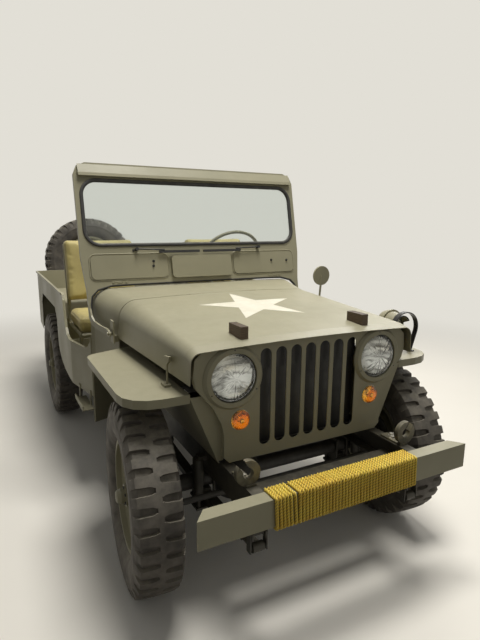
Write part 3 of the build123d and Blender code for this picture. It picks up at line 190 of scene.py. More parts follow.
class Shape:
    """A mesh under construction, in millimetres of the car's frame."""

    def __init__(self, place=None):
        self.bm = bmesh.new()
        self.place = place or Matrix()

    def grid(self, rows, closed_u=False, closed_v=False, caps=False):
        """Skin over rows of points in local coordinates."""
        verts = [[self.bm.verts.new(self.place @ Vector(p)) for p in row] for row in rows]
        skin(self.bm, verts, closed_u, closed_v, caps)

    def lathe(self, profile, steps, at=None):
        """Profile of (r, h) points turned about the local Z axis."""
        keep = self.place
        self.place = keep @ (at or Matrix())
        rows = []
        for r, h in profile:
            rows.append([(*around(max(r, POLE), 360 * k / steps), h) for k in range(steps)])
        closed = profile[0] == profile[-1]
        if closed:
            rows.pop()
        self.grid(rows, closed_u=closed, closed_v=True, caps=not closed)
        self.place = keep

    def tube(self, points, radius, sides=10, up=(0, 0, 1)):
        """Round bar along points, closed at both ends."""
        points = [Vector(p) for p in points]
        rows = []
        side = None
        for i, p in enumerate(points):
            ahead = heading(points, i)
            ref = Vector(up).cross(ahead) if side is None else side
            side = (ref - ahead * ref.dot(ahead)).normalized()
            top = ahead.cross(side)
            ring = [around(radius, 360 * k / sides) for k in range(sides)]
            rows.append([p + side * x + top * y for x, y in ring])
        self.grid(rows, closed_v=True, caps=True)

    def plate(self, outline, low, high, bevel):
        """Flat plate with its outline in the local XY plane, its top edge eased."""
        bottom = [self.bm.verts.new(self.place @ Vector((x, y, low))) for x, y in outline]
        face = self.bm.faces.new(bottom)
        made = bmesh.ops.extrude_face_region(self.bm, geom=[face])["geom"]
        tops = [v for v in made if isinstance(v, bmesh.types.BMVert)]
        lift = self.place.to_3x3() @ Vector((0, 0, high - low))
        for v in tops:
            v.co += lift
        rim = set(e for v in tops for e in v.link_edges if all(w in tops for w in e.verts))
        bmesh.ops.bevel(self.bm, geom=list(rim), offset=bevel, segments=2, affect="EDGES", profile=0.6)

    def block(self, x, y, z, bevel=0.0, at=None):
        """Box between pairs of local coordinates, its edges eased by the bevel."""
        place = self.place @ (at or Matrix())
        centre = Vector([sum(pair) / 2 for pair in (x, y, z)])
        size = Matrix.Diagonal((x[1] - x[0], y[1] - y[0], z[1] - z[0], 1))
        made = bmesh.ops.create_cube(self.bm, size=1, matrix=Matrix.Translation(centre) @ size)
        if bevel:
            edges = list(set(e for v in made["verts"] for e in v.link_edges))
            made = bmesh.ops.bevel(self.bm, geom=edges, offset=bevel, segments=2, affect="EDGES", profile=0.6)
        for v in set(made["verts"]):
            v.co = place @ v.co

    def bolt(self, x, y, z, across, height):
        """Hexagon head with a washer under it, standing on the local XY plane."""
        keep = self.place
        self.place = keep @ Matrix.Translation((x, y, z))
        washer = across * WASHER_R
        self.lathe([(washer, 0), (washer, WASHER_HEIGHT), (0, WASHER_HEIGHT)], 16)
        corner = across / math.sqrt(3)
        self.plate([around(corner, 60 * k) for k in range(6)], 1.0, height, height * HEAD_BEVEL)
        self.place = keep

    def ring(self, count, draw):
        """Copies of what draw adds to an empty shape, turned about the local Z axis."""
        one = Shape(upright_axle().inverted())
        draw(one)
        mesh = ring_mesh(loose_object("Segment", one.bm), count, MATS["dark"], "Ring")
        mesh.transform(self.place @ upright_axle())
        self.bm.from_mesh(mesh)
        bpy.data.meshes.remove(mesh)

    def bolt_ring(self, count, radius, first, foot, across, height):
        """Ring of bolts about the local Z axis."""
        self.ring(count, lambda one: one.bolt(*around(radius, first), foot, across, height))

    def piece(self, name, finish, body, angle=38, hides=()):
        """The finished mesh as a named object that rides on a body."""
        bmesh.ops.remove_doubles(self.bm, verts=self.bm.verts, dist=JOIN)
        bmesh.ops.recalc_face_normals(self.bm, faces=self.bm.faces)
        mesh = bpy.data.meshes.new(name)
        self.bm.to_mesh(mesh)
        self.bm.free()
        mesh.transform(MM)
        mesh.shade_smooth()
        mesh.set_sharp_from_angle(angle=math.radians(angle))
        mesh.materials.append(MATS[finish])
        fix(linked(name, mesh), body, hides)


def turned(place, profile, steps, name, finish, body="chassis", hides=()):
    """Piece that is turned about its place's Z axis."""
    shape = Shape(place)
    shape.lathe(profile, steps)
    shape.piece(name, finish, body, hides=hides)


def fix(obj, body, hides=()):
    """Ride the piece on its body, and hide the solids it stands for."""
    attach(obj, body)
    if hides:
        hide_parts(*hides)


def rounded(half_x, low, high, radius, steps, grow):
    """Points round a rounded rectangle that is centred across the car."""
    radius += grow
    x = half_x + grow - radius
    top = high + grow - radius
    bottom = low - grow + radius
    points = []
    for cx, cy, start in ((x, top, 0), (-x, top, 90), (-x, bottom, 180), (x, bottom, 270)):
        for k in range(steps + 1):
            dx, dy = around(radius, start + 90 * k / steps)
            points.append((cx + dx, cy + dy))
    return points


# Shader groups


def new_group(name, inputs, outputs):
    """Empty shader node group with its sockets."""
    group = bpy.data.node_groups.new(name, "ShaderNodeTree")
    for label, kind, default in inputs:
        socket = group.interface.new_socket(label, in_out="INPUT", socket_type=kind)
        socket.default_value = default
    for label, kind in outputs:
        group.interface.new_socket(label, in_out="OUTPUT", socket_type=kind)
    return group, group.nodes.new("NodeGroupInput"), group.nodes.new("NodeGroupOutput")


def feed(tree, value, socket):
    """Link the value where it is a socket, and set it where it is a number or a colour."""
    if isinstance(value, bpy.types.NodeSocket):
        tree.links.new(value, socket)
    elif value is not None:
        socket.default_value = value


def add_node(tree, kind, inputs=None, **fields):
    """Node with its fields set and its inputs fed, by name or number."""
    node = tree.nodes.new(kind)
    for field, value in fields.items():
        setattr(node, field, value)
    for key, value in (inputs or {}).items():
        feed(tree, value, node.inputs[key])
    return node


def math_node(tree, operation, a, b=None, clamp=False):
    """Result of a sum on sockets or numbers."""
    return add_node(tree, "ShaderNodeMath", {0: a, 1: b}, operation=operation, use_clamp=clamp).outputs[0]


def mixed(tree, factor, a, b):
    """Colour between a and b."""
    return add_node(tree, "ShaderNodeMix", {0: factor, 6: a, 7: b}, data_type="RGBA").outputs[2]


def noise_node(tree, vector, scale, detail, roughness=0.55):
    """Cloudy value from 0 to 1."""
    inputs = {"Vector": vector, "Scale": scale, "Detail": detail, "Roughness": roughness}
    return add_node(tree, "ShaderNodeTexNoise", inputs).outputs["Fac"]


def wave_node(tree, vector, scale, distortion, detail=2.0, direction="X"):
    """Banded value from 0 to 1."""
    inputs = {"Vector": vector, "Scale": scale, "Distortion": distortion, "Detail": detail}
    return add_node(tree, "ShaderNodeTexWave", inputs, bands_direction=direction).outputs["Fac"]


def relief(tree, height, strength, distance):
    """Normal that a height bumps, by a distance in metres."""
    inputs = {"Height": height, "Strength": strength, "Distance": distance}
    return add_node(tree, "ShaderNodeBump", inputs).outputs[0]


def object_spot(tree):
    """Object coordinates of the shaded point."""
    return add_node(tree, "ShaderNodeTexCoord").outputs["Object"]


def split(tree, vector):
    """X, Y and Z of a vector."""
    return add_node(tree, "ShaderNodeSeparateXYZ", {0: vector}).outputs


def spread(tree, value, low, high, shape="LINEAR"):
    """Value moved from the range low to high onto 0 to 1."""
    inputs = {"Value": value, "From Min": low, "From Max": high}
    return add_node(tree, "ShaderNodeMapRange", inputs, interpolation_type=shape).outputs["Result"]


def group_patina():
    """Patchy tone, dust on faces that look up, and fine bump, from object coordinates."""
    tree, start, end = new_group(
        "Patina",
        [
            ("Base", "NodeSocketColor", (0.2, 0.2, 0.2, 1)),
            ("Shade", "NodeSocketColor", (0.1, 0.1, 0.1, 1)),
            ("Dust", "NodeSocketColor", (0.4, 0.37, 0.3, 1)),
            ("Patch scale", "NodeSocketFloat", 4.0),
            ("Grain scale", "NodeSocketFloat", 400.0),
            ("Dust amount", "NodeSocketFloat", 0.2),
            ("Bump", "NodeSocketFloat", 0.15),
        ],
        [("Color", "NodeSocketColor"), ("Roughness", "NodeSocketFloat"), ("Normal", "NodeSocketVector")],
    )
    spot = object_spot(tree)
    patches = spread(tree, noise_node(tree, spot, start.outputs["Patch scale"], 5.0), 0.35, 0.7)
    grain = noise_node(tree, spot, start.outputs["Grain scale"], 2.0, 0.6)
    tone = mixed(tree, patches, start.outputs["Base"], start.outputs["Shade"])
    facing = split(tree, add_node(tree, "ShaderNodeNewGeometry").outputs["Normal"])
    upward = spread(tree, facing[2], 0.15, 1.0)
    streaks = spread(tree, noise_node(tree, spot, 23.0, 6.0, 0.7), 0.3, 0.75)
    settled = math_node(tree, "MULTIPLY", upward, streaks)
    dust = math_node(tree, "MULTIPLY", settled, start.outputs["Dust amount"], True)
    worn = math_node(tree, "MULTIPLY", patches, 0.16)
    grit = math_node(tree, "MULTIPLY", grain, 0.1)
    tree.links.new(mixed(tree, dust, tone, start.outputs["Dust"]), end.inputs["Color"])
    tree.links.new(math_node(tree, "ADD", worn, grit), end.inputs["Roughness"])
    tree.links.new(relief(tree, grain, start.outputs["Bump"], 0.0006), end.inputs["Normal"])


def linear(r, g, b):
    """Linear colour of 8-bit screen values."""
    out = []
    for v in (r, g, b):
        v /= 255
        out.append(v / 12.92 if v < 0.04045 else ((v + 0.055) / 1.055) ** 2.4)
    return (*out, 1.0)


def new_material(name):
    """Material with its node tree and its shader."""
    mat = bpy.data.materials.new(name)
    mat.use_nodes = True
    tree = mat.node_tree
    return mat, tree, tree.nodes["Principled BSDF"]


def set_surface(tree, shader, colour, roughness, normal=None, metallic=0.0, sheen=0.0):
    """Feed the shader's main sockets with sockets or numbers."""
    feed(tree, colour, shader.inputs["Base Color"])
    feed(tree, roughness, shader.inputs["Roughness"])
    feed(tree, normal, shader.inputs["Normal"])
    shader.inputs["Metallic"].default_value = metallic
    shader.inputs["Sheen Weight"].default_value = sheen


DUST = (176, 167, 142)
PATINA_ROUGHNESS = 0.13  # what the patina group adds to a roughness, on the whole


def patina_material(name, base, shade, rough, metallic, patch, grain, dust, bump, specular=0.5):
    """Principled surface fed by the patina group."""
    mat, tree, shader = new_material(name)
    inputs = {
        "Base": linear(*base),
        "Shade": linear(*shade),
        "Dust": linear(*DUST),
        "Patch scale": patch,
        "Grain scale": grain,
        "Dust amount": dust,
        "Bump": bump,
    }
    node = add_node(tree, "ShaderNodeGroup", inputs, node_tree=bpy.data.node_groups["Patina"])
    rough = math_node(tree, "ADD", node.outputs["Roughness"], rough - PATINA_ROUGHNESS, True)
    set_surface(tree, shader, node.outputs["Color"], rough, node.outputs["Normal"], metallic)
    shader.inputs["Specular IOR Level"].default_value = specular
    return mat


def rope_material():
    """Twisted plastic rope: bright strands flecked with dirt, with painted shade in the grooves between them.
    """
    mat, tree, shader = new_material("Rope yellow")
    spot = object_spot(tree)
    patches = spread(tree, noise_node(tree, spot, 14.0, 4.0), 0.35, 0.68)
    tone = mixed(tree, patches, linear(255, 224, 84), linear(244, 204, 70))
    fleck = spread(tree, noise_node(tree, spot, 420.0, 2.0), 0.5, 0.72)
    tone = mixed(tree, math_node(tree, "MULTIPLY", fleck, 0.3), tone, linear(132, 98, 36))
    # painted shade: the colour turns orange-brown where the groove attribute from make_rope marks the gaps
    # between strands
    groove = add_node(tree, "ShaderNodeAttribute", attribute_name="groove").outputs["Fac"]
    dark = spread(tree, groove, 0.35, 0.95)
    colour = mixed(tree, dark, tone, linear(104, 68, 16))
    fibres = wave_node(tree, add_node(tree, "ShaderNodeTexCoord").outputs["UV"], 40.0, 2.0)
    set_surface(tree, shader, colour, 0.48, relief(tree, fibres, 0.4, 0.0006), sheen=0.1)
    return mat


def cloth_material():
    """Coated seat canvas with its weave, from object coordinates."""
    mat, tree, shader = new_material("Seat canvas")
    spot = object_spot(tree)
    patches = spread(tree, noise_node(tree, spot, 9.0, 5.0), 0.32, 0.72)
    colour = mixed(tree, patches, linear(192, 176, 110), linear(168, 152, 94))
    threads = 0.0
    for axis in split(tree, spot):
        wave = math_node(tree, "SINE", math_node(tree, "MULTIPLY", axis, 5200.0))
        threads = math_node(tree, "ADD", wave, threads)
    weave = spread(tree, threads, -3.0, 3.0)
    colour = mixed(tree, math_node(tree, "MULTIPLY", weave, 0.14), colour, linear(96, 84, 48))
    creases = noise_node(tree, spot, 38.0, 4.0, 0.6)
    height = math_node(tree, "ADD", creases, math_node(tree, "MULTIPLY", weave, 0.25))
    set_surface(tree, shader, colour, 0.62, relief(tree, height, 0.35, 0.0015), sheen=0.15)
    return mat


def wood_material():
    """Dark stained hardwood with lighter grain lines."""
    mat, tree, shader = new_material("Dark wood")
    grain = wave_node(tree, object_spot(tree), 60.0, 7.0, 3.0, "Z")
    colour = mixed(tree, grain, linear(60, 46, 30), linear(92, 74, 48))
    set_surface(tree, shader, colour, 0.6, relief(tree, grain, 0.3, 0.0008))
    return mat


def glass_material(name, tint, smear, rough):
    """Clear or coloured glass with a faint film of dust."""
    mat, tree, shader = new_material(name)
    film = spread(tree, noise_node(tree, object_spot(tree), 7.0, 6.0, 0.65), 0.35, 0.8)
    rough = math_node(tree, "ADD", math_node(tree, "MULTIPLY", film, smear), rough)
    set_surface(tree, shader, linear(*tint), rough)
    shader.inputs["Transmission Weight"].default_value = 1.0
    shader.inputs["IOR"].default_value = 1.47
    return mat


def reflector_material():
    """Silvered lamp bowl with painted reflections: bright and dark bands in its colour stand in for what it
    would mirror.
    """
    mat, tree, shader = new_material("Lamp reflector")
    inputs = {"Vector": object_spot(tree), "Scale": (0.55, 0.0, 2.6)}
    stretched = add_node(tree, "ShaderNodeMapping", inputs).outputs[0]
    # painted reflection: noise streaks darken and lighten the bowl's colour in place of mirrored surroundings
    painted_reflection_bands = spread(tree, noise_node(tree, stretched, 17.0, 5.0, 0.6), 0.44, 0.62)
    colour = mixed(tree, painted_reflection_bands, linear(252, 251, 247), linear(112, 110, 103))
    set_surface(tree, shader, colour, 0.4, metallic=1.0)
    return mat


# Finish, name, colour, its patches' colour, roughness, metallic, patch scale, grain scale,
# dust and bump
PATINAS = (
    # chassis: darker than the body's paint, as painted shade under the body
    ("chassis", "Chassis paint in painted shade", (56, 52, 40), (32, 30, 24), 0.6, 0.0, 9.0, 400.0, 0.2, 0.3),
    ("forged", "Painted forging", (112, 106, 84), (58, 55, 44), 0.45, 0.0, 26.0, 400.0, 0.35, 0.4),
    ("drive", "Greasy iron", (52, 49, 43), (28, 26, 23), 0.6, 0.0, 12.0, 400.0, 0.12, 0.5),
    ("dark", "Dark steel", (46, 45, 42), (28, 27, 25), 0.5, 0.3, 14.0, 400.0, 0.2, 0.3),
    # steel: pale, half-metal tone that keeps the hook bolts bright in shade; partly worn steel, partly
    # painted highlight
    ("steel", "Worn steel with painted highlight", (214, 210, 196), (142, 136, 120), 0.38, 0.4, 60.0, 400.0, 0.1, 0.4),
    ("chrome", "Chrome", (232, 232, 230), (206, 206, 204), 0.16, 1.0, 8.0, 400.0, 0.0, 0.03),
    ("rubber", "Seal rubber", (44, 43, 40), (30, 29, 27), 0.62, 0.0, 20.0, 400.0, 0.3, 0.3),
    ("tyre", "Tyre rubber", (88, 82, 73), (54, 50, 45), 0.7, 0.0, 16.0, 260.0, 0.45, 0.6),
    ("plastic", "Black plastic", (34, 33, 31), (24, 23, 22), 0.38, 0.0, 10.0, 400.0, 0.1, 0.08),
    ("white", "White star paint", (224, 218, 198), (210, 203, 180), 0.5, 0.0, 12.0, 700.0, 0.1, 0.12),
    ("blade", "Blade rubber", (30, 29, 28), (20, 20, 19), 0.55, 0.0, 30.0, 400.0, 0.1, 0.1),
)
# Finish, name, tint, how much the film of dust roughens it, roughness
GLASSES = (
    ("glass", "Windshield glass", (226, 232, 230), 0.08, 0.01),
    ("lens", "Lamp glass", (244, 246, 246), 0.05, 0.02),
    ("amber", "Amber lens", (255, 186, 70), 0.1, 0.1),
    ("red", "Red lens", (196, 22, 16), 0.1, 0.12),
)
PAINT_SHADE = 0.93
PAINT_SPECULAR = 0.35


def make_materials(settings):
    """Every finish, by name."""
    group_patina()
    paint = tuple(round(255 * c ** (1 / 2.2)) for c in settings.colour)
    shade = tuple(round(PAINT_SHADE * c) for c in paint)
    look = (settings.roughness, 0.0, 3.0, 700.0, settings.dust, 0.12, PAINT_SPECULAR)
    mats = {"paint": patina_material("Field paint", paint, shade, *look)}
    mats.update((row[0], patina_material(*row[1:])) for row in PATINAS)
    mats.update((row[0], glass_material(*row[1:])) for row in GLASSES)
    mats["reflector"] = reflector_material()
    mats["rope"] = rope_material()
    mats["cloth"] = cloth_material()
    mats["wood"] = wood_material()
    return mats


MATS = {}
FINISH = {
    # painted shade: the frame and running gear under the body take the darkened chassis paint
    "chassis": (
        "chassis_frame", "cross_members", "leaf_springs", "shock_absorbers", "exhaust", "spare_carrier",
        "knuckle_left", "knuckle_right",
    ),
    "forged": ("tow_hooks",),
    "drive": ("axle_front", "axle_rear", "engine_block", "propeller_shafts", "tie_rod"),
    "dark": ("radiator", "control_levers"),
    "tyre": ("front_left_tyre", "front_right_tyre", "rear_left_tyre", "rear_right_tyre", "spare_tyre"),
    "glass": ("windshield_glass",),
    "lens": ("headlamps",),
    "amber": ("marker_lamps",),
    "red": ("tail_lamps",),
    "blade": ("wipers",),
    "wood": ("hood_blocks",),
    "cloth": ("seat_cushions",),
    "rope": ("rope_winding",),
}


def dress_frame():
    """Give every CAD node a procedural finish, and the blackout lamp's guard a black one that is partly
    painted shade.
    """
    by_node = {n: key for key, names in FINISH.items() for n in names}
    for name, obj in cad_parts.items():
        finish = MATS[by_node.get(name, "paint")]
        for slot in obj.material_slots:
            slot.material = finish
        if not obj.material_slots:
            obj.data.materials.append(finish)
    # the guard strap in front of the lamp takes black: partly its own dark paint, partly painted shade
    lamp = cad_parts["blackout_lamp"].data
    lamp.materials.append(MATS["plastic"])
    guard_back = (MM @ Vector((0, GUARD_BACK, 0))).y
    for face in lamp.polygons:
        if face.center.y < guard_back:
            face.material_index = len(lamp.materials) - 1


# Repeats by Geometry Nodes


WELD = 0.00002  # distance at which the copies join, in the segment's own unit


def ring_group():
    """Copies of a segment turned about the X axis."""
    group = bpy.data.node_groups.new("Ring repeat", "GeometryNodeTree")
    for label, kind in (("Geometry", "Geometry"), ("Count", "Int"), ("Material", "Material")):
        group.interface.new_socket(label, in_out="INPUT", socket_type=f"NodeSocket{kind}")
    group.interface.new_socket("Geometry", in_out="OUTPUT", socket_type="NodeSocketGeometry")
    segment, count, material = list(add_node(group, "NodeGroupInput").outputs)[:3]
    points = add_node(group, "GeometryNodePoints", {"Count": count}).outputs[0]
    step = math_node(group, "DIVIDE", math.tau, count)
    angle = math_node(group, "MULTIPLY", add_node(group, "GeometryNodeInputIndex").outputs[0], step)
    turn = add_node(group, "ShaderNodeCombineXYZ", {0: angle}).outputs[0]
    inputs = {"Points": points, "Instance": segment, "Rotation": turn}
    copies = add_node(group, "GeometryNodeInstanceOnPoints", inputs).outputs[0]
    real = add_node(group, "GeometryNodeRealizeInstances", {0: copies}).outputs[0]
    weld = add_node(group, "GeometryNodeMergeByDistance", {0: real, "Distance": WELD}).outputs[0]
    inputs = {"Geometry": weld, "Material": material}
    add_node(group, "NodeGroupOutput", {0: add_node(group, "GeometryNodeSetMaterial", inputs).outputs[0]})
    return group


def ring_mesh(segment, count, material, name):
    """Mesh of a segment repeated round the X axis, as new data."""
    group = bpy.data.node_groups.get("Ring repeat") or ring_group()
    mod = segment.modifiers.new("Ring", "NODES")
    mod.node_group = group
    ids = {s.name: s.identifier for s in group.interface.items_tree if s.in_out == "INPUT"}
    mod[ids["Count"]] = count
    mod[ids["Material"]] = material
    mesh = evaluated_mesh(segment)
    mesh.name = name
    bpy.data.objects.remove(segment)
    return mesh


def evaluated_mesh(obj):
    """Plain mesh of what the object's modifiers or its spline make."""
    bpy.context.view_layer.update()
    depsgraph = bpy.context.evaluated_depsgraph_get()
    return bpy.data.meshes.new_from_object(obj.evaluated_get(depsgraph))


def loose_object(name, bm):
    """Object of a bmesh that isn't a piece yet."""
    bmesh.ops.recalc_face_normals(bm, faces=bm.faces)
    mesh = bpy.data.meshes.new(name)
    bm.to_mesh(mesh)
    bm.free()
    return linked(name, mesh)


def linked(name, data):
    """Object of the data, in the scene."""
    obj = bpy.data.objects.new(name, data)
    bpy.context.scene.collection.objects.link(obj)
    return obj


# Rope


LOOSE_CORNERS = range(3, 8)  # points of a turn on the bumper's front, which a loose one slants
WANDER = 0.35  # how far a turn strays from its line, in millimetres


def rope_route(settings):
    """Control points of the winding, twelve to a turn round the bumper, in metres."""
    y_front, y_back, z_low, z_high = BUMPER_BOX
    r = settings.diameter * 500
    y0, y1, z0, z1 = y_front - r, y_back + r, z_low - r, z_high + r
    e = ROPE_CORNER
    loop = [
        (y1, z1 - e), (y1, z1), (y1 - e, z1),
        (y0 + e, z1), (y0, z1), (y0, z1 - e),
        (y0, z0 + e), (y0, z0), (y0 + e, z0),
        (y1 - e, z0), (y1, z0), (y1, z0 + e),
    ]
    lengths = [0.0]
    for a, b in zip(loop, loop[1:] + loop[:1]):
        lengths.append(lengths[-1] + math.dist(a, b))
    turns, loose_turns, gap = settings.turns, settings.loose_turns, settings.wedge
    pitch = (ROPE_SPAN[1] - ROPE_SPAN[0] - gap) / turns
    points = []
    for i in range(turns):
        loose = i < loose_turns
        start = ROPE_SPAN[0] + i * pitch + (0 if loose else gap)
        step = pitch + (gap if i == loose_turns - 1 else 0)
        for k, (y, z) in enumerate(loop):
            x = start + step * (lengths[k] / lengths[-1])
            if loose and k in LOOSE_CORNERS:
                x += gap * (k - 5) / 4 * (1 if i else 0.5)
            if 0 < i < turns - 1:
                x += WANDER * math.sin(2.1 * i + 0.9 * k)
            points.append(MM @ Vector((x, y, z)))
    return points


def spline_points(points, resolution):
    """Points along the NURBS spline of a route."""
    curve = bpy.data.curves.new("Route", "CURVE")
    curve.dimensions = "3D"
    spline = curve.splines.new("NURBS")
    spline.points.add(len(points) - 1)
    for target, p in zip(spline.points, points):
        target.co = (*p, 1.0)
    spline.order_u = 3
    spline.use_endpoint_u = True
    spline.resolution_u = resolution
    obj = linked("Route", curve)
    mesh = evaluated_mesh(obj)
    line = [v.co.copy() for v in mesh.vertices]
    bpy.data.objects.remove(obj)
    bpy.data.meshes.remove(mesh)
    return line


def even_points(line, step):
    """The same line with points a fixed step apart."""
    out = [line[0]]
    left = step
    for a, b in zip(line, line[1:]):
        run = (b - a).length
        done = 0.0
        while run - done >= left:
            done += left
            out.append(a.lerp(b, done / run))
            left = step
        left -= run - done
    if (out[-1] - line[-1]).length > step / 3:
        out.append(line[-1])
    return out


LOBES = ((0, 1.0), (30, 0.93), (60, 0.58), (90, 0.93))  # angle and reach round one strand
RINGS = 9  # rings of points in one twist
TAPER = (0.55, 90)  # share of the thickness at an end, and how fast it grows


def make_rope(settings):
    """Three-strand rope along the winding, as one closed mesh."""
    line = spline_points(rope_route(settings), 8)
    length = sum((b - a).length for a, b in zip(line, line[1:]))
    points = even_points(line, settings.strand_pitch / RINGS)
    ring = [(math.radians(a + 120 * k), reach) for k in range(3) for a, reach in LOBES]
    bm = bmesh.new()
    # Point attribute of painted shade in the grooves, which the rope's material darkens
    groove_shade_layer = bm.verts.layers.float.new("groove")
    uv = bm.loops.layers.uv.new("UVMap")
    rows = []
    side = Vector((1, 0, 0))
    run = 0.0
    for i, p in enumerate(points):
        ahead = heading(points, i)
        side = (side - ahead * side.dot(ahead)).normalized()
        top = ahead.cross(side)
        if i:
            run += (p - points[i - 1]).length
        twist = math.tau * run / settings.strand_pitch
        end, growth = TAPER
        taper = min(1.0, end + growth * run, end + growth * (length - run))
        row = []
        for a, reach in ring:
            r = settings.diameter / 2 * reach * taper
            v = bm.verts.new(p + side * (r * math.cos(a + twist)) + top * (r * math.sin(a + twist)))
            # painted shade: full in the groove between strands, a little on their flanks, none on their
            # crowns
            v[groove_shade_layer] = 1.0 if reach < 0.7 else (0.1 if reach < 0.95 else 0.0)
            row.append(v)
        rows.append(row)
    for face, i, j in skin(bm, rows, closed_v=True, caps=True):
        for loop, (u, w) in zip(face.loops, ((i, j), (i, j + 1), (i + 1, j + 1), (i + 1, j))):
            loop[uv].uv = (u / RINGS, w / len(LOBES))
    obj = loose_object("Wound_rope", bm)
    obj.data.shade_smooth()
    obj.data.materials.append(MATS["rope"])
    fix(obj, "chassis", ("rope_winding",))


# Tyres and wheels


# Half of the tyre's section from its middle out: distance from the middle, radius, depth
# of the grooves, and a groove's half width as a share of the pitch; then the sidewall's
# distance and radius.
TREAD = (
    (0, 368.0, 0, 0.12), (9, 368.0, 0, 0.12), (12, 367.9, 12, 0.09), (19, 367.9, 13, 0.15),
    (30, 367.6, 14, 0.18), (48, 366.8, 14, 0.19), (62, 365.8, 13, 0.2), (74, 362.5, 12, 0.21),
    (79, 352, 10, 0.21), (82.5, 339, 6, 0.2), (85.5, 326, 0, 0.17),
)
SIDEWALL = (
    (87.2, 312), (88.6, 309), (88.6, 304), (87.4, 301), (88.2, 284), (87.6, 266), (84, 248),
    (76, 233), (66.5, 223.5), (58.5, 218), (57.5, 207),
)
FULL_DEPTH = 14.0
CROWN_R = 364  # smaller radii belong to the shoulder
SHOULDER_R = 345  # smaller radii belong to the side
# Shares of the pitch: a lug's sloping side, the points on its flat top, and its sweep
LUG_SLOPE = 0.035
LUG_TOP = 0.14
LUG_SWEEP = 0.02


def pitch_stations(side, half):
    """Shares of the pitch along a row, and which of them lie in a groove."""
    foot = half + LUG_SLOPE
    if side > 0:
        shares = (-0.5, LUG_TOP - 0.5, -foot, -half, 0, half, foot, 0.5 - LUG_TOP, 0.5)
        return shares, (0, 0, 0, 1, 1, 1, 0, 0, 0)
    shares = (-0.5, half - 0.5, foot - 0.5, -LUG_TOP, 0, LUG_TOP, 0.5 - foot, 0.5 - half, 0.5)
    return shares, (1, 1, 0, 0, 0, 0, 0, 1, 1)


def tyre_segment(settings):
    """One pitch of the tyre, its bar lugs staggered across a centre rib."""
    half_section = [*TREAD, *((w, r, 0, 0.15) for w, r in SIDEWALL)]
    left = [(-1, *station) for station in half_section[::-1]]
    right = [(1, *station) for station in half_section[1:]]
    bm = bmesh.new()
    uv = bm.loops.layers.uv.new("UVMap")
    rows = []
    for side, w, r, depth, half in left + right:
        shares, grooves = pitch_stations(side, half)
        if not w:
            shares = (-0.5, -0.33, -0.25, -0.17, 0, 0.17, 0.25, 0.33, 0.5)
        sunk = (0, 1) if r > CROWN_R else ((0.6, 0.8) if r > SHOULDER_R else (1, 0.1))
        row = []
        for share, groove in zip(shares, grooves):
            d = settings.lug_depth / FULL_DEPTH * depth * groove
            a = math.tau * (share + LUG_SWEEP * (w / 76) * side) / settings.lug_count
            across = side * (w - d * sunk[0])
            out = r - d * sunk[1]
            row.append(bm.verts.new(Vector((across, -out * math.sin(a), out * math.cos(a))) / 1000))
        rows.append(row)
    for face, _, _ in skin(bm, rows, closed_u=True):
        for loop in face.loops:
            loop[uv].uv = (loop.vert.co.y * 10, loop.vert.co.x * 10)
    return loose_object("Tyre_segment", bm)


WHEELS = [(end, side) for end in ("front", "rear") for side, _ in SIDES]


def wheel_name(end, side):
    """A wheel's name, as its body and its nodes begin."""
    return f"{end}_{'left' if side > 0 else 'right'}"


def upright_axle():
    """From the ring repeat's X axis to a wheel frame's Z axis."""
    return axes((0, 0, 1), (1, 0, 0), (0, 1, 0))


def make_tyres(settings):
    """Treaded tyres on the four wheels and the spare."""
    mesh = ring_mesh(tyre_segment(settings), settings.lug_count, MATS["tyre"], "Tyre")
    mesh.shade_smooth()
    mesh.set_sharp_from_angle(angle=math.radians(32))
    targets = []
    for end, side in WHEELS:
        name = wheel_name(end, side)
        targets.append((wheel_frame(end, side), f"{name}_wheel", f"{name}_tyre"))
    targets.append((facing_rear(*SPARE), "chassis", "spare_tyre"))
    for place, body, node in targets:
        data = mesh.copy()
        data.transform(MM @ place @ upright_axle() @ Matrix.Scale(1000, 4))
        fix(linked(f"{node}_tread", data), body, (node,))


CAP_R = {"front": 27, "rear": 24}


def make_hubs():
    """Lug nuts, hub flange bolts and caps on the wheels, and the spare wheel's nuts."""
    for end, side in WHEELS:
        name = wheel_name(end, side)
        place = wheel_frame(end, side)
        nuts = Shape(place)
        nuts.bolt_ring(*WHEEL_NUTS)
        nuts.bolt_ring(*FLANGE_BOLTS)
        nuts.piece(f"{name}_nuts", "dark", f"{name}_wheel")
        r = CAP_R[end]
        profile = [(0, 77), (29.5, 77), (29.8, 79), (r, 82), (r - 3, 92), (r - 9, 96), (0, 97)]
        turned(place, profile, 28, f"{name}_cap", "paint", f"{name}_wheel")
    spare = Shape(facing_rear(*SPARE))
    spare.bolt_ring(*SPARE_NUTS)
    spare.piece("Spare_nuts", "dark", "chassis")


# Seats


PAD_CORNER = 0.022
PAD_VOXEL = 0.0065
SEAM_AT = 0.62  # share of the half thickness
SEAM_WIDTH = 0.004
SEAM_DEPTH = 0.0035


def pad_mesh(name, size):
    """Rounded block to be swelled, centred on the origin, in metres."""
    bm = bmesh.new()
    bmesh.ops.create_cube(bm, size=1, matrix=Matrix.Diagonal((*size, 1)))
    bmesh.ops.bevel(bm, geom=list(bm.edges), offset=PAD_CORNER, segments=4, affect="EDGES", profile=0.5)
    obj = loose_object(name, bm)
    mod = obj.modifiers.new("Remesh", "REMESH")
    mod.mode = "VOXEL"
    mod.voxel_size = PAD_VOXEL
    mod.use_smooth_shade = True
    apply_modifiers(obj)
    return obj


def apply_modifiers(obj):
    """Make the object's modifiers real."""
    mesh = evaluated_mesh(obj)
    obj.modifiers.clear()
    obj.data = mesh


CLOTH_STIFFNESS = 25
CLOTH_FRAMES = 20


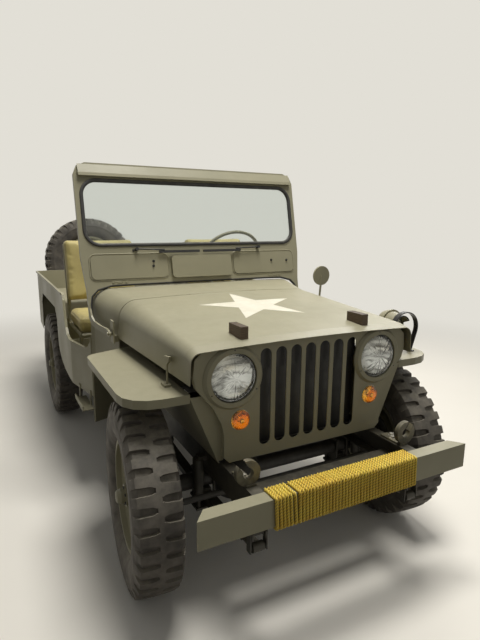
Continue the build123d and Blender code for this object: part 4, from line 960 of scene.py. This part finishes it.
def swell(obj, settings):
    """Blow the pad up as cloth, and cap how far a point may go."""
    rest = [v.co.copy() for v in obj.data.vertices]
    mod = obj.modifiers.new("Cloth", "CLOTH")
    mod.settings.use_pressure = True
    mod.settings.uniform_pressure_force = settings.pressure
    mod.settings.effector_weights.gravity = 0
    mod.settings.tension_stiffness = CLOTH_STIFFNESS
    mod.settings.compression_stiffness = CLOTH_STIFFNESS
    scene = bpy.context.scene
    for step in range(1, CLOTH_FRAMES + 1):
        scene.frame_set(step)
    apply_modifiers(obj)
    for v, start in zip(obj.data.vertices, rest):
        move = v.co - start
        if move.length > settings.cap:
            v.co = start + move.normalized() * settings.cap
    scene.frame_set(1)


def seam(obj, axis, level):
    """Sunk seam line round the pad where it crosses a plane."""
    for v in obj.data.vertices:
        off = (v.co[axis] - level) / SEAM_WIDTH
        if abs(off) < 3:
            flat = v.co.copy()
            flat[axis] = 0
            v.co -= flat.normalized() * SEAM_DEPTH * math.exp(-off * off)


def make_seats(settings):
    """Seat and back pads, made once each and placed on both sides."""
    for name, size, centre, lean, axis in PADS:
        obj = pad_mesh(f"Seat_{name}", size)
        swell(obj, settings)
        level = size[axis] / 2 * SEAM_AT
        seam(obj, axis, level)
        seam(obj, axis, -level)
        obj.modifiers.new("Smooth", "SUBSURF").levels = 1
        apply_modifiers(obj)
        obj.data.shade_smooth()
        turn = Matrix.Rotation(math.radians(lean), 4, "X")
        for side, label in SIDES:
            data = obj.data.copy()
            data.transform(Matrix.Translation(MM @ Vector(on_side(centre, side))) @ turn)
            data.materials.clear()
            data.materials.append(MATS["cloth"])
            pad = linked(f"Seat_{name}_{label}", data)
            fix(pad, "chassis", ("seat_cushions",))
        bpy.data.objects.remove(obj)


# Lamps


# Turned profiles of the lamps, as radius and height out of the face
BOWL_R = 82.0
BOWL_DEPTH = 52.0
BOWL_RISE = 46.0
BOWL_BACK = ((84, -7), (84, -12), (66, -36), (40, -52), (0, -58))
LENS_FRONT = (
    (0, 27), (12, 26.6), (26, 25.6), (40, 23.8), (54, 21),
    (66, 17.8), (77, 14), (84, 9), (87, 3), (87, -5),
)
LENS_BACK = ((81, -5), (79, 4), (72, 10), (60, 15), (44, 19), (28, 21.6), (12, 22.6), (0, 23))
FLUTE = 5.6  # half the width of a flute behind the lens, and its depth
FLUTE_DEPTH = 1.3
TRIM = ((87.4, -8), (90, -8), (90, 4), (89, 6), (87.6, 5), (87.4, -8))
TRIM_SCREW = ((0, 3), (3.2, 3), (3.0, 6), (0, 7))
# How far inside the marker lamp's radius a point of its lens lies, and its height
MARKER_LENS = (
    (1, 1), (0.5, 5), (3, 10), (6.5, 12), (9, 15), (13, 18.5), (20, 21), (28, 22.6), (MARKER_R, 23),
)
MARKER_RIBS = 24
RIB_HEIGHT = 0.7
MARKER_BASE = (
    (0, -30), (23, -30), (23, 0.2), (MARKER_R, 0.2), (MARKER_R, 3),
    (MARKER_R - 2.5, 3), (MARKER_R - 2.5, 0.9), (0, 0.9),
)
MARKER_BULB = ((0, 0.8), (7, 0.8), (7, 8), (9, 12), (6, 17), (0, 18))
TAIL_BODY = ((0, 0.5), (40, 0.5), (40, 26), (37, 33), (34, 35), (34, 30), (0, 30))
TAIL_LENS = ((33, 30.5), (33, 33), (26, 36), (14, 38), (0, 38.6), (0, 30.5))
BLACKOUT_LENS = ((0, 0.3), (41, 0.3), (41, 3), (30, 8), (16, 11), (0, 12))
BLACKOUT_RING = ((41.3, 0.3), (45.7, 0.3), (45.7, 6), (43, 8), (41.3, 6), (41.3, 0.3))


def make_headlamp(place, label, steps):
    """Bowl, fluted lens and trim with its screws."""
    radii = (0, 12, 24, 36, 48, 60, 72, BOWL_R)
    bowl = [(r, BOWL_RISE * (r / BOWL_R) ** 2 - BOWL_DEPTH) for r in radii] + list(BOWL_BACK)
    turned(place, bowl, 48, f"Headlamp_bowl_{label}", "reflector", hides=("headlamps",))
    lens = Shape(place)
    rows = []
    for profile, flute in ((LENS_FRONT, 0.0), (LENS_BACK, FLUTE_DEPTH)):
        for r, h in profile:
            ring = [around(max(r, POLE), 360 * k / steps) for k in range(steps)]
            deep = flute * min(1, r / 20)
            rows.append([(x, y, h - deep * math.cos(x * math.pi / FLUTE)) for x, y in ring])
    lens.grid(rows, closed_v=True, caps=True)
    lens.piece(f"Headlamp_lens_{label}", "lens", "chassis", 60)
    trim = Shape(place)
    trim.lathe(TRIM, 56)
    screw = Matrix.Translation((*around(103, 90), 6))
    trim.ring(3, lambda one: one.lathe(TRIM_SCREW, 12, screw))
    trim.piece(f"Headlamp_trim_{label}", "dark", "chassis")


def make_marker_lamp(place, label):
    """Ribbed amber lens over a bright base with its bulb."""
    lens = Shape(place)
    rows = []
    for inside, h in MARKER_LENS:
        r = max(MARKER_R - inside, POLE)
        rib = RIB_HEIGHT if 12 < r < MARKER_R - 8 else 0.0
        row = []
        for a in range(0, 360, 5):
            row.append((*around(r, a), h + rib * math.cos(math.radians(MARKER_RIBS * a))))
        rows.append(row)
    lens.grid(rows, closed_v=True, caps=True)
    lens.piece(f"Marker_lens_{label}", "amber", "chassis", 50, ("marker_lamps",))
    base = Shape(place)
    base.lathe(MARKER_BASE, 40)
    base.lathe(MARKER_BULB, 20)
    base.piece(f"Marker_base_{label}", "chrome", "chassis")


def make_lamps(settings):
    """Lamps of both sides, with the tow hooks' bolts, and the blackout lamp's glass."""
    for side, label in SIDES:
        make_headlamp(facing_front(*on_side(HEADLAMP, side)), label, settings.flutes * 4)
        make_marker_lamp(facing_front(*on_side(MARKER, side)), label)
        bolts = Shape()
        for x, y in HOOK_BOLTS:
            bolts.bolt(side * x, y, HOOK_FOOT, 17, 10)
        bolts.piece(f"Hook_bolts_{label}", "steel", "chassis")
        place = facing_rear(*on_side(TAIL_LAMP, side))
        turned(place, TAIL_BODY, 36, f"Tail_body_{label}", "paint", hides=("tail_lamps",))
        turned(place, TAIL_LENS, 36, f"Tail_lens_{label}", "red")
    place = facing_front(*BLACKOUT)
    turned(place, BLACKOUT_LENS, 36, "Blackout_lens", "lens")
    turned(place, BLACKOUT_RING, 40, "Blackout_ring", "dark")


# Windshield


def make_windshield(settings):
    """Rubber seals round the glass and along the cowl's arch."""
    half, low, high, radius = WS_OPENING
    top = settings.seal_height
    profile = (
        (-9, 0.6), (-8, 4), (-4, top), (3, top - 1), (8, 3),
        (10, -3), (9, -9.5), (2, -9.8), (0.6, 0.6),
    )
    place = windshield_frame()
    seal = Shape(place)
    rows = [[(x, y, h) for x, y in rounded(half, low, high, radius, 9, -inward)] for inward, h in profile]
    seal.grid(rows, closed_u=True, closed_v=True)
    seal.piece("Windshield_seal", "rubber", "windshield", 50)
    arch = Shape(place)
    line = [(-620, -51), (-620, -3), (-612, 37), (-580, 69), (-512, 87)]
    line += [(x, 89) for x in (-400, -250, -100, 0)]
    line += [(-x, y) for x, y in reversed(line[:-1])]
    arch.tube([(x, y, -6) for x, y in line], 7)
    arch.piece("Arch_seal", "rubber", "windshield", 50)


def make_windshield_trim():
    """Beads round the pressed pads, nuts, cover screws and strap loops."""
    place = windshield_frame()
    pad_x, pad_y, half_x, half_y, corner = WS_PADS
    beads = Shape(place)
    for side in (1, -1):
        rows = []
        for grow, rise in ((4.0, -0.4), (5.0, 1.9), (7.0, 2.7), (9.0, 1.9), (10.0, -0.4)):
            line = rounded(half_x, pad_y - half_y, pad_y + half_y, corner, 7, grow)
            rows.append([(side * pad_x + x, y, rise) for x, y in line])
        beads.grid(rows, closed_u=True, closed_v=True)
    beads.piece("Panel_beads", "paint", "windshield", 50)
    nuts = Shape(place)
    for x, y in WS_NUTS:
        on_pad = abs(abs(x) - pad_x) < half_x and abs(y - pad_y) < half_y
        nuts.bolt(x, y, 5.0 if on_pad else 0.0, 10, 6)
    nuts.piece("Panel_nuts", "dark", "windshield")
    loops = Shape(place)
    for x, y in WS_LOOPS:
        arch = [around(11, 180 - 22.5 * k) for k in range(9)]
        loops.tube([(x + across, y, 0.5 + rise) for across, rise in arch], 2.0, 8, up=(0, 1, 0))
        for end in (-1, 1):
            foot = x + end * 15
            loops.block((foot - 6, foot + 6), (y - 6, y + 6), (0.1, 2.2), 0.6)
    loops.piece("Strap_loops", "paint", "windshield")


def make_dash():
    """Gauges on the dash, with their bezels, dials, needles and glass."""
    bezels = Shape()
    dials = Shape()
    glass = Shape()
    marks = Shape()
    for x, z, r in GAUGES:
        at = facing_rear(x, DASH_FACE, z)
        bezels.lathe([(r - 3, 0.2), (r + 3, 0.2), (r + 3, 4), (r, 7), (r - 3, 6), (r - 3, 0.2)], 36, at)
        dials.lathe([(0, 0.2), (r - 3.2, 0.2), (r - 3.2, 1.4), (0, 1.4)], 32, at)
        glass.lathe([(0, 3.8), (r - 3.2, 3.8), (r - 3.2, 5.2), (0, 5.6)], 32, at)
        for k in range(13):
            turn = at @ Matrix.Rotation(math.radians(120 - 20 * k), 4, "Z")
            marks.block((-0.5, 0.5), (r * 0.72, r * 0.86), (1.4, 1.8), at=turn)
        needle = at @ Matrix.Rotation(math.radians(100), 4, "Z")
        marks.block((-0.9, 0.9), (-r * 0.15, r * 0.7), (1.9, 2.5), at=needle)
    bezels.piece("Gauge_bezels", "dark", "chassis")
    dials.piece("Gauge_dials", "plastic", "chassis")
    marks.piece("Gauge_marks", "white", "chassis")
    glass.piece("Gauge_glass", "lens", "chassis")


# Hood


def drop_on(node):
    """Function that gives the height of a node's top at a point of the car, in mm."""
    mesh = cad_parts[node].data
    tree = BVHTree.FromPolygons([v.co for v in mesh.vertices], [p.vertices for p in mesh.polygons])
    down = Vector((0, 0, -1))
    return lambda x, y: tree.ray_cast(MM @ Vector((x, y, 2000)), down)[0].z * 1000


STAR_WAIST = 0.382  # reach of the star's inner corners, as a share of its tips'
STAR_TOP = 0.45  # height over the hood's skin, and how far the star reaches under it
STAR_FOOT = -1.0


def make_hood(settings):
    """Five-pointed star that lies on the hood's crowned skin."""
    height = drop_on("hood")
    cx, cy = settings.star_x, settings.star_y
    bm = bmesh.new()
    centre = bm.verts.new((cx, cy, 0))
    ring = []
    for k in range(10):
        dx, dy = around(settings.star_radius * (STAR_WAIST if k % 2 else 1), 90 + 36 * k)
        ring.append(bm.verts.new((cx + dx, cy + dy, 0)))
    for a, b in zip(ring, ring[1:] + ring[:1]):
        bm.faces.new((centre, a, b))
    bmesh.ops.subdivide_edges(bm, edges=bm.edges, cuts=9, use_grid_fill=True)
    bmesh.ops.triangulate(bm, faces=bm.faces)
    made = bmesh.ops.extrude_face_region(bm, geom=list(bm.faces))["geom"]
    top = set(v for v in made if isinstance(v, bmesh.types.BMVert))
    for v in bm.verts:
        v.co.z = height(v.co.x, v.co.y) + (STAR_TOP if v in top else STAR_FOOT)
    star = Shape()
    star.bm.free()
    star.bm = bm
    star.piece("Hood_star", "white", "hood")


# Stage


BACKDROP = (226, 223, 214)
FLOOR_TONES = ((240, 234, 221), (232, 226, 212))
FLOOR_REACH = 30
FADE = (2.2, 5.5)  # metres from the car over which the floor turns to the backdrop's colour
CAMERA_PLACE = (-1.09105, -2.91785, 1.41951)
CAMERA_TURN = (0.484385, -0.200321, 0.008991)  # yaw, pitch and roll in radians
CAMERA_LENS = 27.63
SENSOR = 36.0
WORLD = (236, 238, 240)
KEY_PLACE = (0.3, -0.9, 5.6)
RIM_PLACE = (3.4, 1.0, 3.6)
LAMP_SIZE = 2.0
AIM = (0.0, -0.6, 0.6)


def looked_at(tree):
    """1 where a surface is seen straight, by reflection or through glass."""
    path = add_node(tree, "ShaderNodeLightPath").outputs
    seen = math_node(tree, "MAXIMUM", path["Is Camera Ray"], path["Is Transmission Ray"])
    return math_node(tree, "MAXIMUM", seen, path["Is Glossy Ray"])


def floor_material(settings):
    """Pale floor that keeps the shadow near the car and fades to the backdrop's colour."""
    mat, tree, shader = new_material("Pale floor")
    spot = object_spot(tree)
    seen = looked_at(tree)
    tone = mixed(tree, noise_node(tree, spot, 1.2, 4.0), *(linear(*tone) for tone in FLOOR_TONES))
    set_surface(tree, shader, mixed(tree, seen, linear(*settings.bounce), tone), 0.85)
    shader.inputs["Specular IOR Level"].default_value = 0.2
    distance = add_node(tree, "ShaderNodeVectorMath", {0: spot}, operation="LENGTH").outputs["Value"]
    glow = add_node(tree, "ShaderNodeEmission", {"Color": linear(*BACKDROP)}).outputs[0]
    share = math_node(tree, "MULTIPLY", spread(tree, distance, *FADE, "SMOOTHSTEP"), seen)
    blend_shaders(tree, share, shader.outputs[0], glow, tree.nodes["Material Output"])
    return mat


def blend_shaders(tree, share, a, b, output):
    """Show shader a, and b by its share."""
    blend = add_node(tree, "ShaderNodeMixShader", {0: share, 1: a, 2: b})
    tree.links.new(blend.outputs[0], output.inputs["Surface"])


def make_camera():
    """Camera as it was fitted to the photograph."""
    data = bpy.data.cameras.new("Camera")
    data.sensor_width = SENSOR
    data.lens = CAMERA_LENS
    yaw, pitch, roll = CAMERA_TURN
    ahead = Vector((math.sin(yaw) * math.cos(pitch), math.cos(yaw) * math.cos(pitch), math.sin(pitch)))
    right = ahead.cross(Vector((0, 0, 1))).normalized()
    up = right.cross(ahead)
    across = right * math.cos(roll) + up * math.sin(roll)
    above = up * math.cos(roll) - right * math.sin(roll)
    camera = linked("Camera", data)
    camera.matrix_world = axes(across, above, -ahead, CAMERA_PLACE)
    bpy.context.scene.camera = camera


def make_world(settings):
    """Even light from all round, stronger from the car's left, behind a plain backdrop."""
    world = bpy.data.worlds.new("Studio")
    bpy.context.scene.world = world
    world.use_nodes = True
    tree = world.node_tree
    light = tree.nodes["Background"]
    light.inputs[0].default_value = linear(*WORLD)
    across = split(tree, add_node(tree, "ShaderNodeTexCoord").outputs["Generated"])[0]
    lean = math_node(tree, "MULTIPLY", across, settings.fill * settings.lean)
    tree.links.new(math_node(tree, "ADD", lean, settings.fill), light.inputs[1])
    backdrop = add_node(tree, "ShaderNodeBackground", {0: linear(*BACKDROP)}).outputs[0]
    blend_shaders(tree, looked_at(tree), light.outputs[0], backdrop, tree.nodes["World Output"])


def make_stage(settings):
    """Camera, floor, world and lamps."""
    make_camera()
    bpy.context.scene.view_settings.view_transform = "Standard"
    floor = bmesh.new()
    bmesh.ops.create_grid(floor, x_segments=1, y_segments=1, size=FLOOR_REACH)
    plane = loose_object("Floor", floor)
    plane.data.materials.append(floor_material(settings))
    make_world(settings)
    for name, place, power in (("Key", KEY_PLACE, settings.key), ("Rim", RIM_PLACE, settings.rim)):
        light = bpy.data.lights.new(name, "AREA")
        light.shape = "DISK"
        light.size = LAMP_SIZE
        light.energy = power
        lamp = linked(name, light)
        lamp.location = place
        aim = Vector(AIM) - Vector(place)
        lamp.rotation_euler = aim.to_track_quat("-Z", "Y").to_euler()


# Settings, operators and panel


class PaintSettings(bpy.types.PropertyGroup):
    """Finish of the body."""

    colour: FloatVectorProperty(
        name="Paint", description="Body paint, linear colour",
        subtype="COLOR", size=3, default=(0.335, 0.305, 0.197),
    )
    roughness: FloatProperty(name="Roughness", description="Gloss of the paint", default=0.46)
    dust: FloatProperty(name="Dust", description="Dust on faces that look up", default=0.25)


class RopeSettings(bpy.types.PropertyGroup):
    """Rope wound round the front bumper."""

    diameter: FloatProperty(
        name="Diameter", description="Thickness of the rope", unit="LENGTH", default=0.013,
    )
    turns: IntProperty(name="Turns", description="Turns round the bumper", default=45)
    loose_turns: IntProperty(
        name="Loose turns", description="Slanted turns at the car's right end", default=6,
    )
    wedge: FloatProperty(name="Wedge", description="Gap after the slanted turns, in millimetres", default=8.0)
    strand_pitch: FloatProperty(
        name="Strand pitch", description="Length of one twist", unit="LENGTH", default=0.033,
    )


class TyreSettings(bpy.types.PropertyGroup):
    """Tread of the tyres."""

    lug_count: IntProperty(name="Lugs", description="Bar lugs round each side of the tread", default=36)
    lug_depth: FloatProperty(name="Depth", description="Depth of the grooves, in millimetres", default=14.0)


class SeatSettings(bpy.types.PropertyGroup):
    """Cloth that swells the seat pads."""

    pressure: FloatProperty(name="Pressure", description="Pressure inside the pads", default=4.0)
    cap: FloatProperty(name="Cap", description="Furthest that a point may move", unit="LENGTH", default=0.009)


class DetailSettings(bpy.types.PropertyGroup):
    """Lamps, seals and the star."""

    flutes: IntProperty(name="Lens steps", description="Fineness of the headlamp lenses", default=30)
    seal_height: FloatProperty(
        name="Seal", description="Height of the glass seal, in millimetres", default=6.0,
    )
    star_x: FloatProperty(
        name="Star X", description="Place of the star across the hood, in millimetres", default=10.0,
    )
    star_y: FloatProperty(
        name="Star Y", description="Place of the star along the hood, in millimetres", default=235.0,
    )
    star_radius: FloatProperty(
        name="Star radius", description="Reach of the star's tips, in millimetres", default=250.0,
    )


class StageSettings(bpy.types.PropertyGroup):
    """Light on the car."""

    fill: FloatProperty(name="Fill", description="Strength of the light from all round", default=0.27)
    key: FloatProperty(
        name="Key", description="Power of the lamp overhead, in watts", unit="POWER", default=250.0,
    )
    rim: FloatProperty(
        name="Side", description="Power of the side lamp, in watts", unit="POWER", default=60.0,
    )
    lean: FloatProperty(
        name="Lean", description="How much more of the fill comes from the car's left", default=0.5,
    )
    bounce: IntVectorProperty(
        name="Bounce", description="Floor's colour in the light that it throws back", default=(104, 101, 94),
    )


class FieldCarStep:
    """What the operators share."""

    bl_options = {"REGISTER", "UNDO"}


class FIELDCAR_OT_finishes(FieldCarStep, bpy.types.Operator):
    """Make the finishes and paint the frame"""

    bl_idname = "field_car.finishes"
    bl_label = "Finishes"

    def execute(self, context):
        MATS.update(make_materials(context.scene.field_car_paint))
        dress_frame()
        return {"FINISHED"}


class FIELDCAR_OT_rope(FieldCarStep, bpy.types.Operator):
    """Wind the rope round the bumper"""

    bl_idname = "field_car.rope"
    bl_label = "Rope"

    def execute(self, context):
        make_rope(context.scene.field_car_rope)
        return {"FINISHED"}


class FIELDCAR_OT_tyres(FieldCarStep, bpy.types.Operator):
    """Put treaded tyres, nuts and caps on the wheels"""

    bl_idname = "field_car.tyres"
    bl_label = "Tyres"

    def execute(self, context):
        make_tyres(context.scene.field_car_tyres)
        make_hubs()
        return {"FINISHED"}


class FIELDCAR_OT_seats(FieldCarStep, bpy.types.Operator):
    """Swell the seat pads"""

    bl_idname = "field_car.seats"
    bl_label = "Seats"

    def execute(self, context):
        make_seats(context.scene.field_car_seats)
        return {"FINISHED"}


class FIELDCAR_OT_lamps(FieldCarStep, bpy.types.Operator):
    """Build the lamps, and the tow hooks' bolts"""

    bl_idname = "field_car.lamps"
    bl_label = "Lamps"

    def execute(self, context):
        make_lamps(context.scene.field_car_details)
        return {"FINISHED"}


class FIELDCAR_OT_windshield(FieldCarStep, bpy.types.Operator):
    """Add the windshield's seals and trim, and the dash gauges"""

    bl_idname = "field_car.windshield"
    bl_label = "Windshield"

    def execute(self, context):
        make_windshield(context.scene.field_car_details)
        make_windshield_trim()
        make_dash()
        return {"FINISHED"}


class FIELDCAR_OT_hood(FieldCarStep, bpy.types.Operator):
    """Paint the star on the hood"""

    bl_idname = "field_car.hood"
    bl_label = "Hood"

    def execute(self, context):
        make_hood(context.scene.field_car_details)
        return {"FINISHED"}


class FIELDCAR_OT_stage(FieldCarStep, bpy.types.Operator):
    """Set the camera, the lights and the floor"""

    bl_idname = "field_car.stage"
    bl_label = "Stage"

    def execute(self, context):
        make_stage(context.scene.field_car_stage)
        return {"FINISHED"}


STEPS = ("stage", "finishes", "rope", "tyres", "seats", "lamps", "windshield", "hood")
GROUPS = {
    "field_car_paint": PaintSettings,
    "field_car_rope": RopeSettings,
    "field_car_tyres": TyreSettings,
    "field_car_seats": SeatSettings,
    "field_car_details": DetailSettings,
    "field_car_stage": StageSettings,
}


class FIELDCAR_PT_panel(bpy.types.Panel):
    """Buttons and settings of the car's pieces"""

    bl_label = "Field Car"
    bl_idname = "FIELDCAR_PT_panel"
    bl_space_type = "VIEW_3D"
    bl_region_type = "UI"
    bl_category = "Field Car"

    def draw(self, context):
        for step in STEPS:
            self.layout.operator(f"field_car.{step}")
        for name, group in GROUPS.items():
            box = self.layout.box()
            for prop in group.__annotations__:
                box.prop(getattr(context.scene, name), prop)


CLASSES = (
    *GROUPS.values(),
    FIELDCAR_OT_finishes,
    FIELDCAR_OT_rope,
    FIELDCAR_OT_tyres,
    FIELDCAR_OT_seats,
    FIELDCAR_OT_lamps,
    FIELDCAR_OT_windshield,
    FIELDCAR_OT_hood,
    FIELDCAR_OT_stage,
    FIELDCAR_PT_panel,
)


def register():
    """Register the classes and put the settings on the scene."""
    for cls in CLASSES:
        bpy.utils.register_class(cls)
    for name, group in GROUPS.items():
        setattr(bpy.types.Scene, name, PointerProperty(type=group))


def unregister():
    """Take the settings and the classes away again."""
    for name in GROUPS:
        delattr(bpy.types.Scene, name)
    for cls in reversed(CLASSES):
        bpy.utils.unregister_class(cls)


def main():
    """Build the car piece by piece."""
    register()
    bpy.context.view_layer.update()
    for step in STEPS:
        getattr(bpy.ops.field_car, step)()


if __name__ == "__main__":
    main()
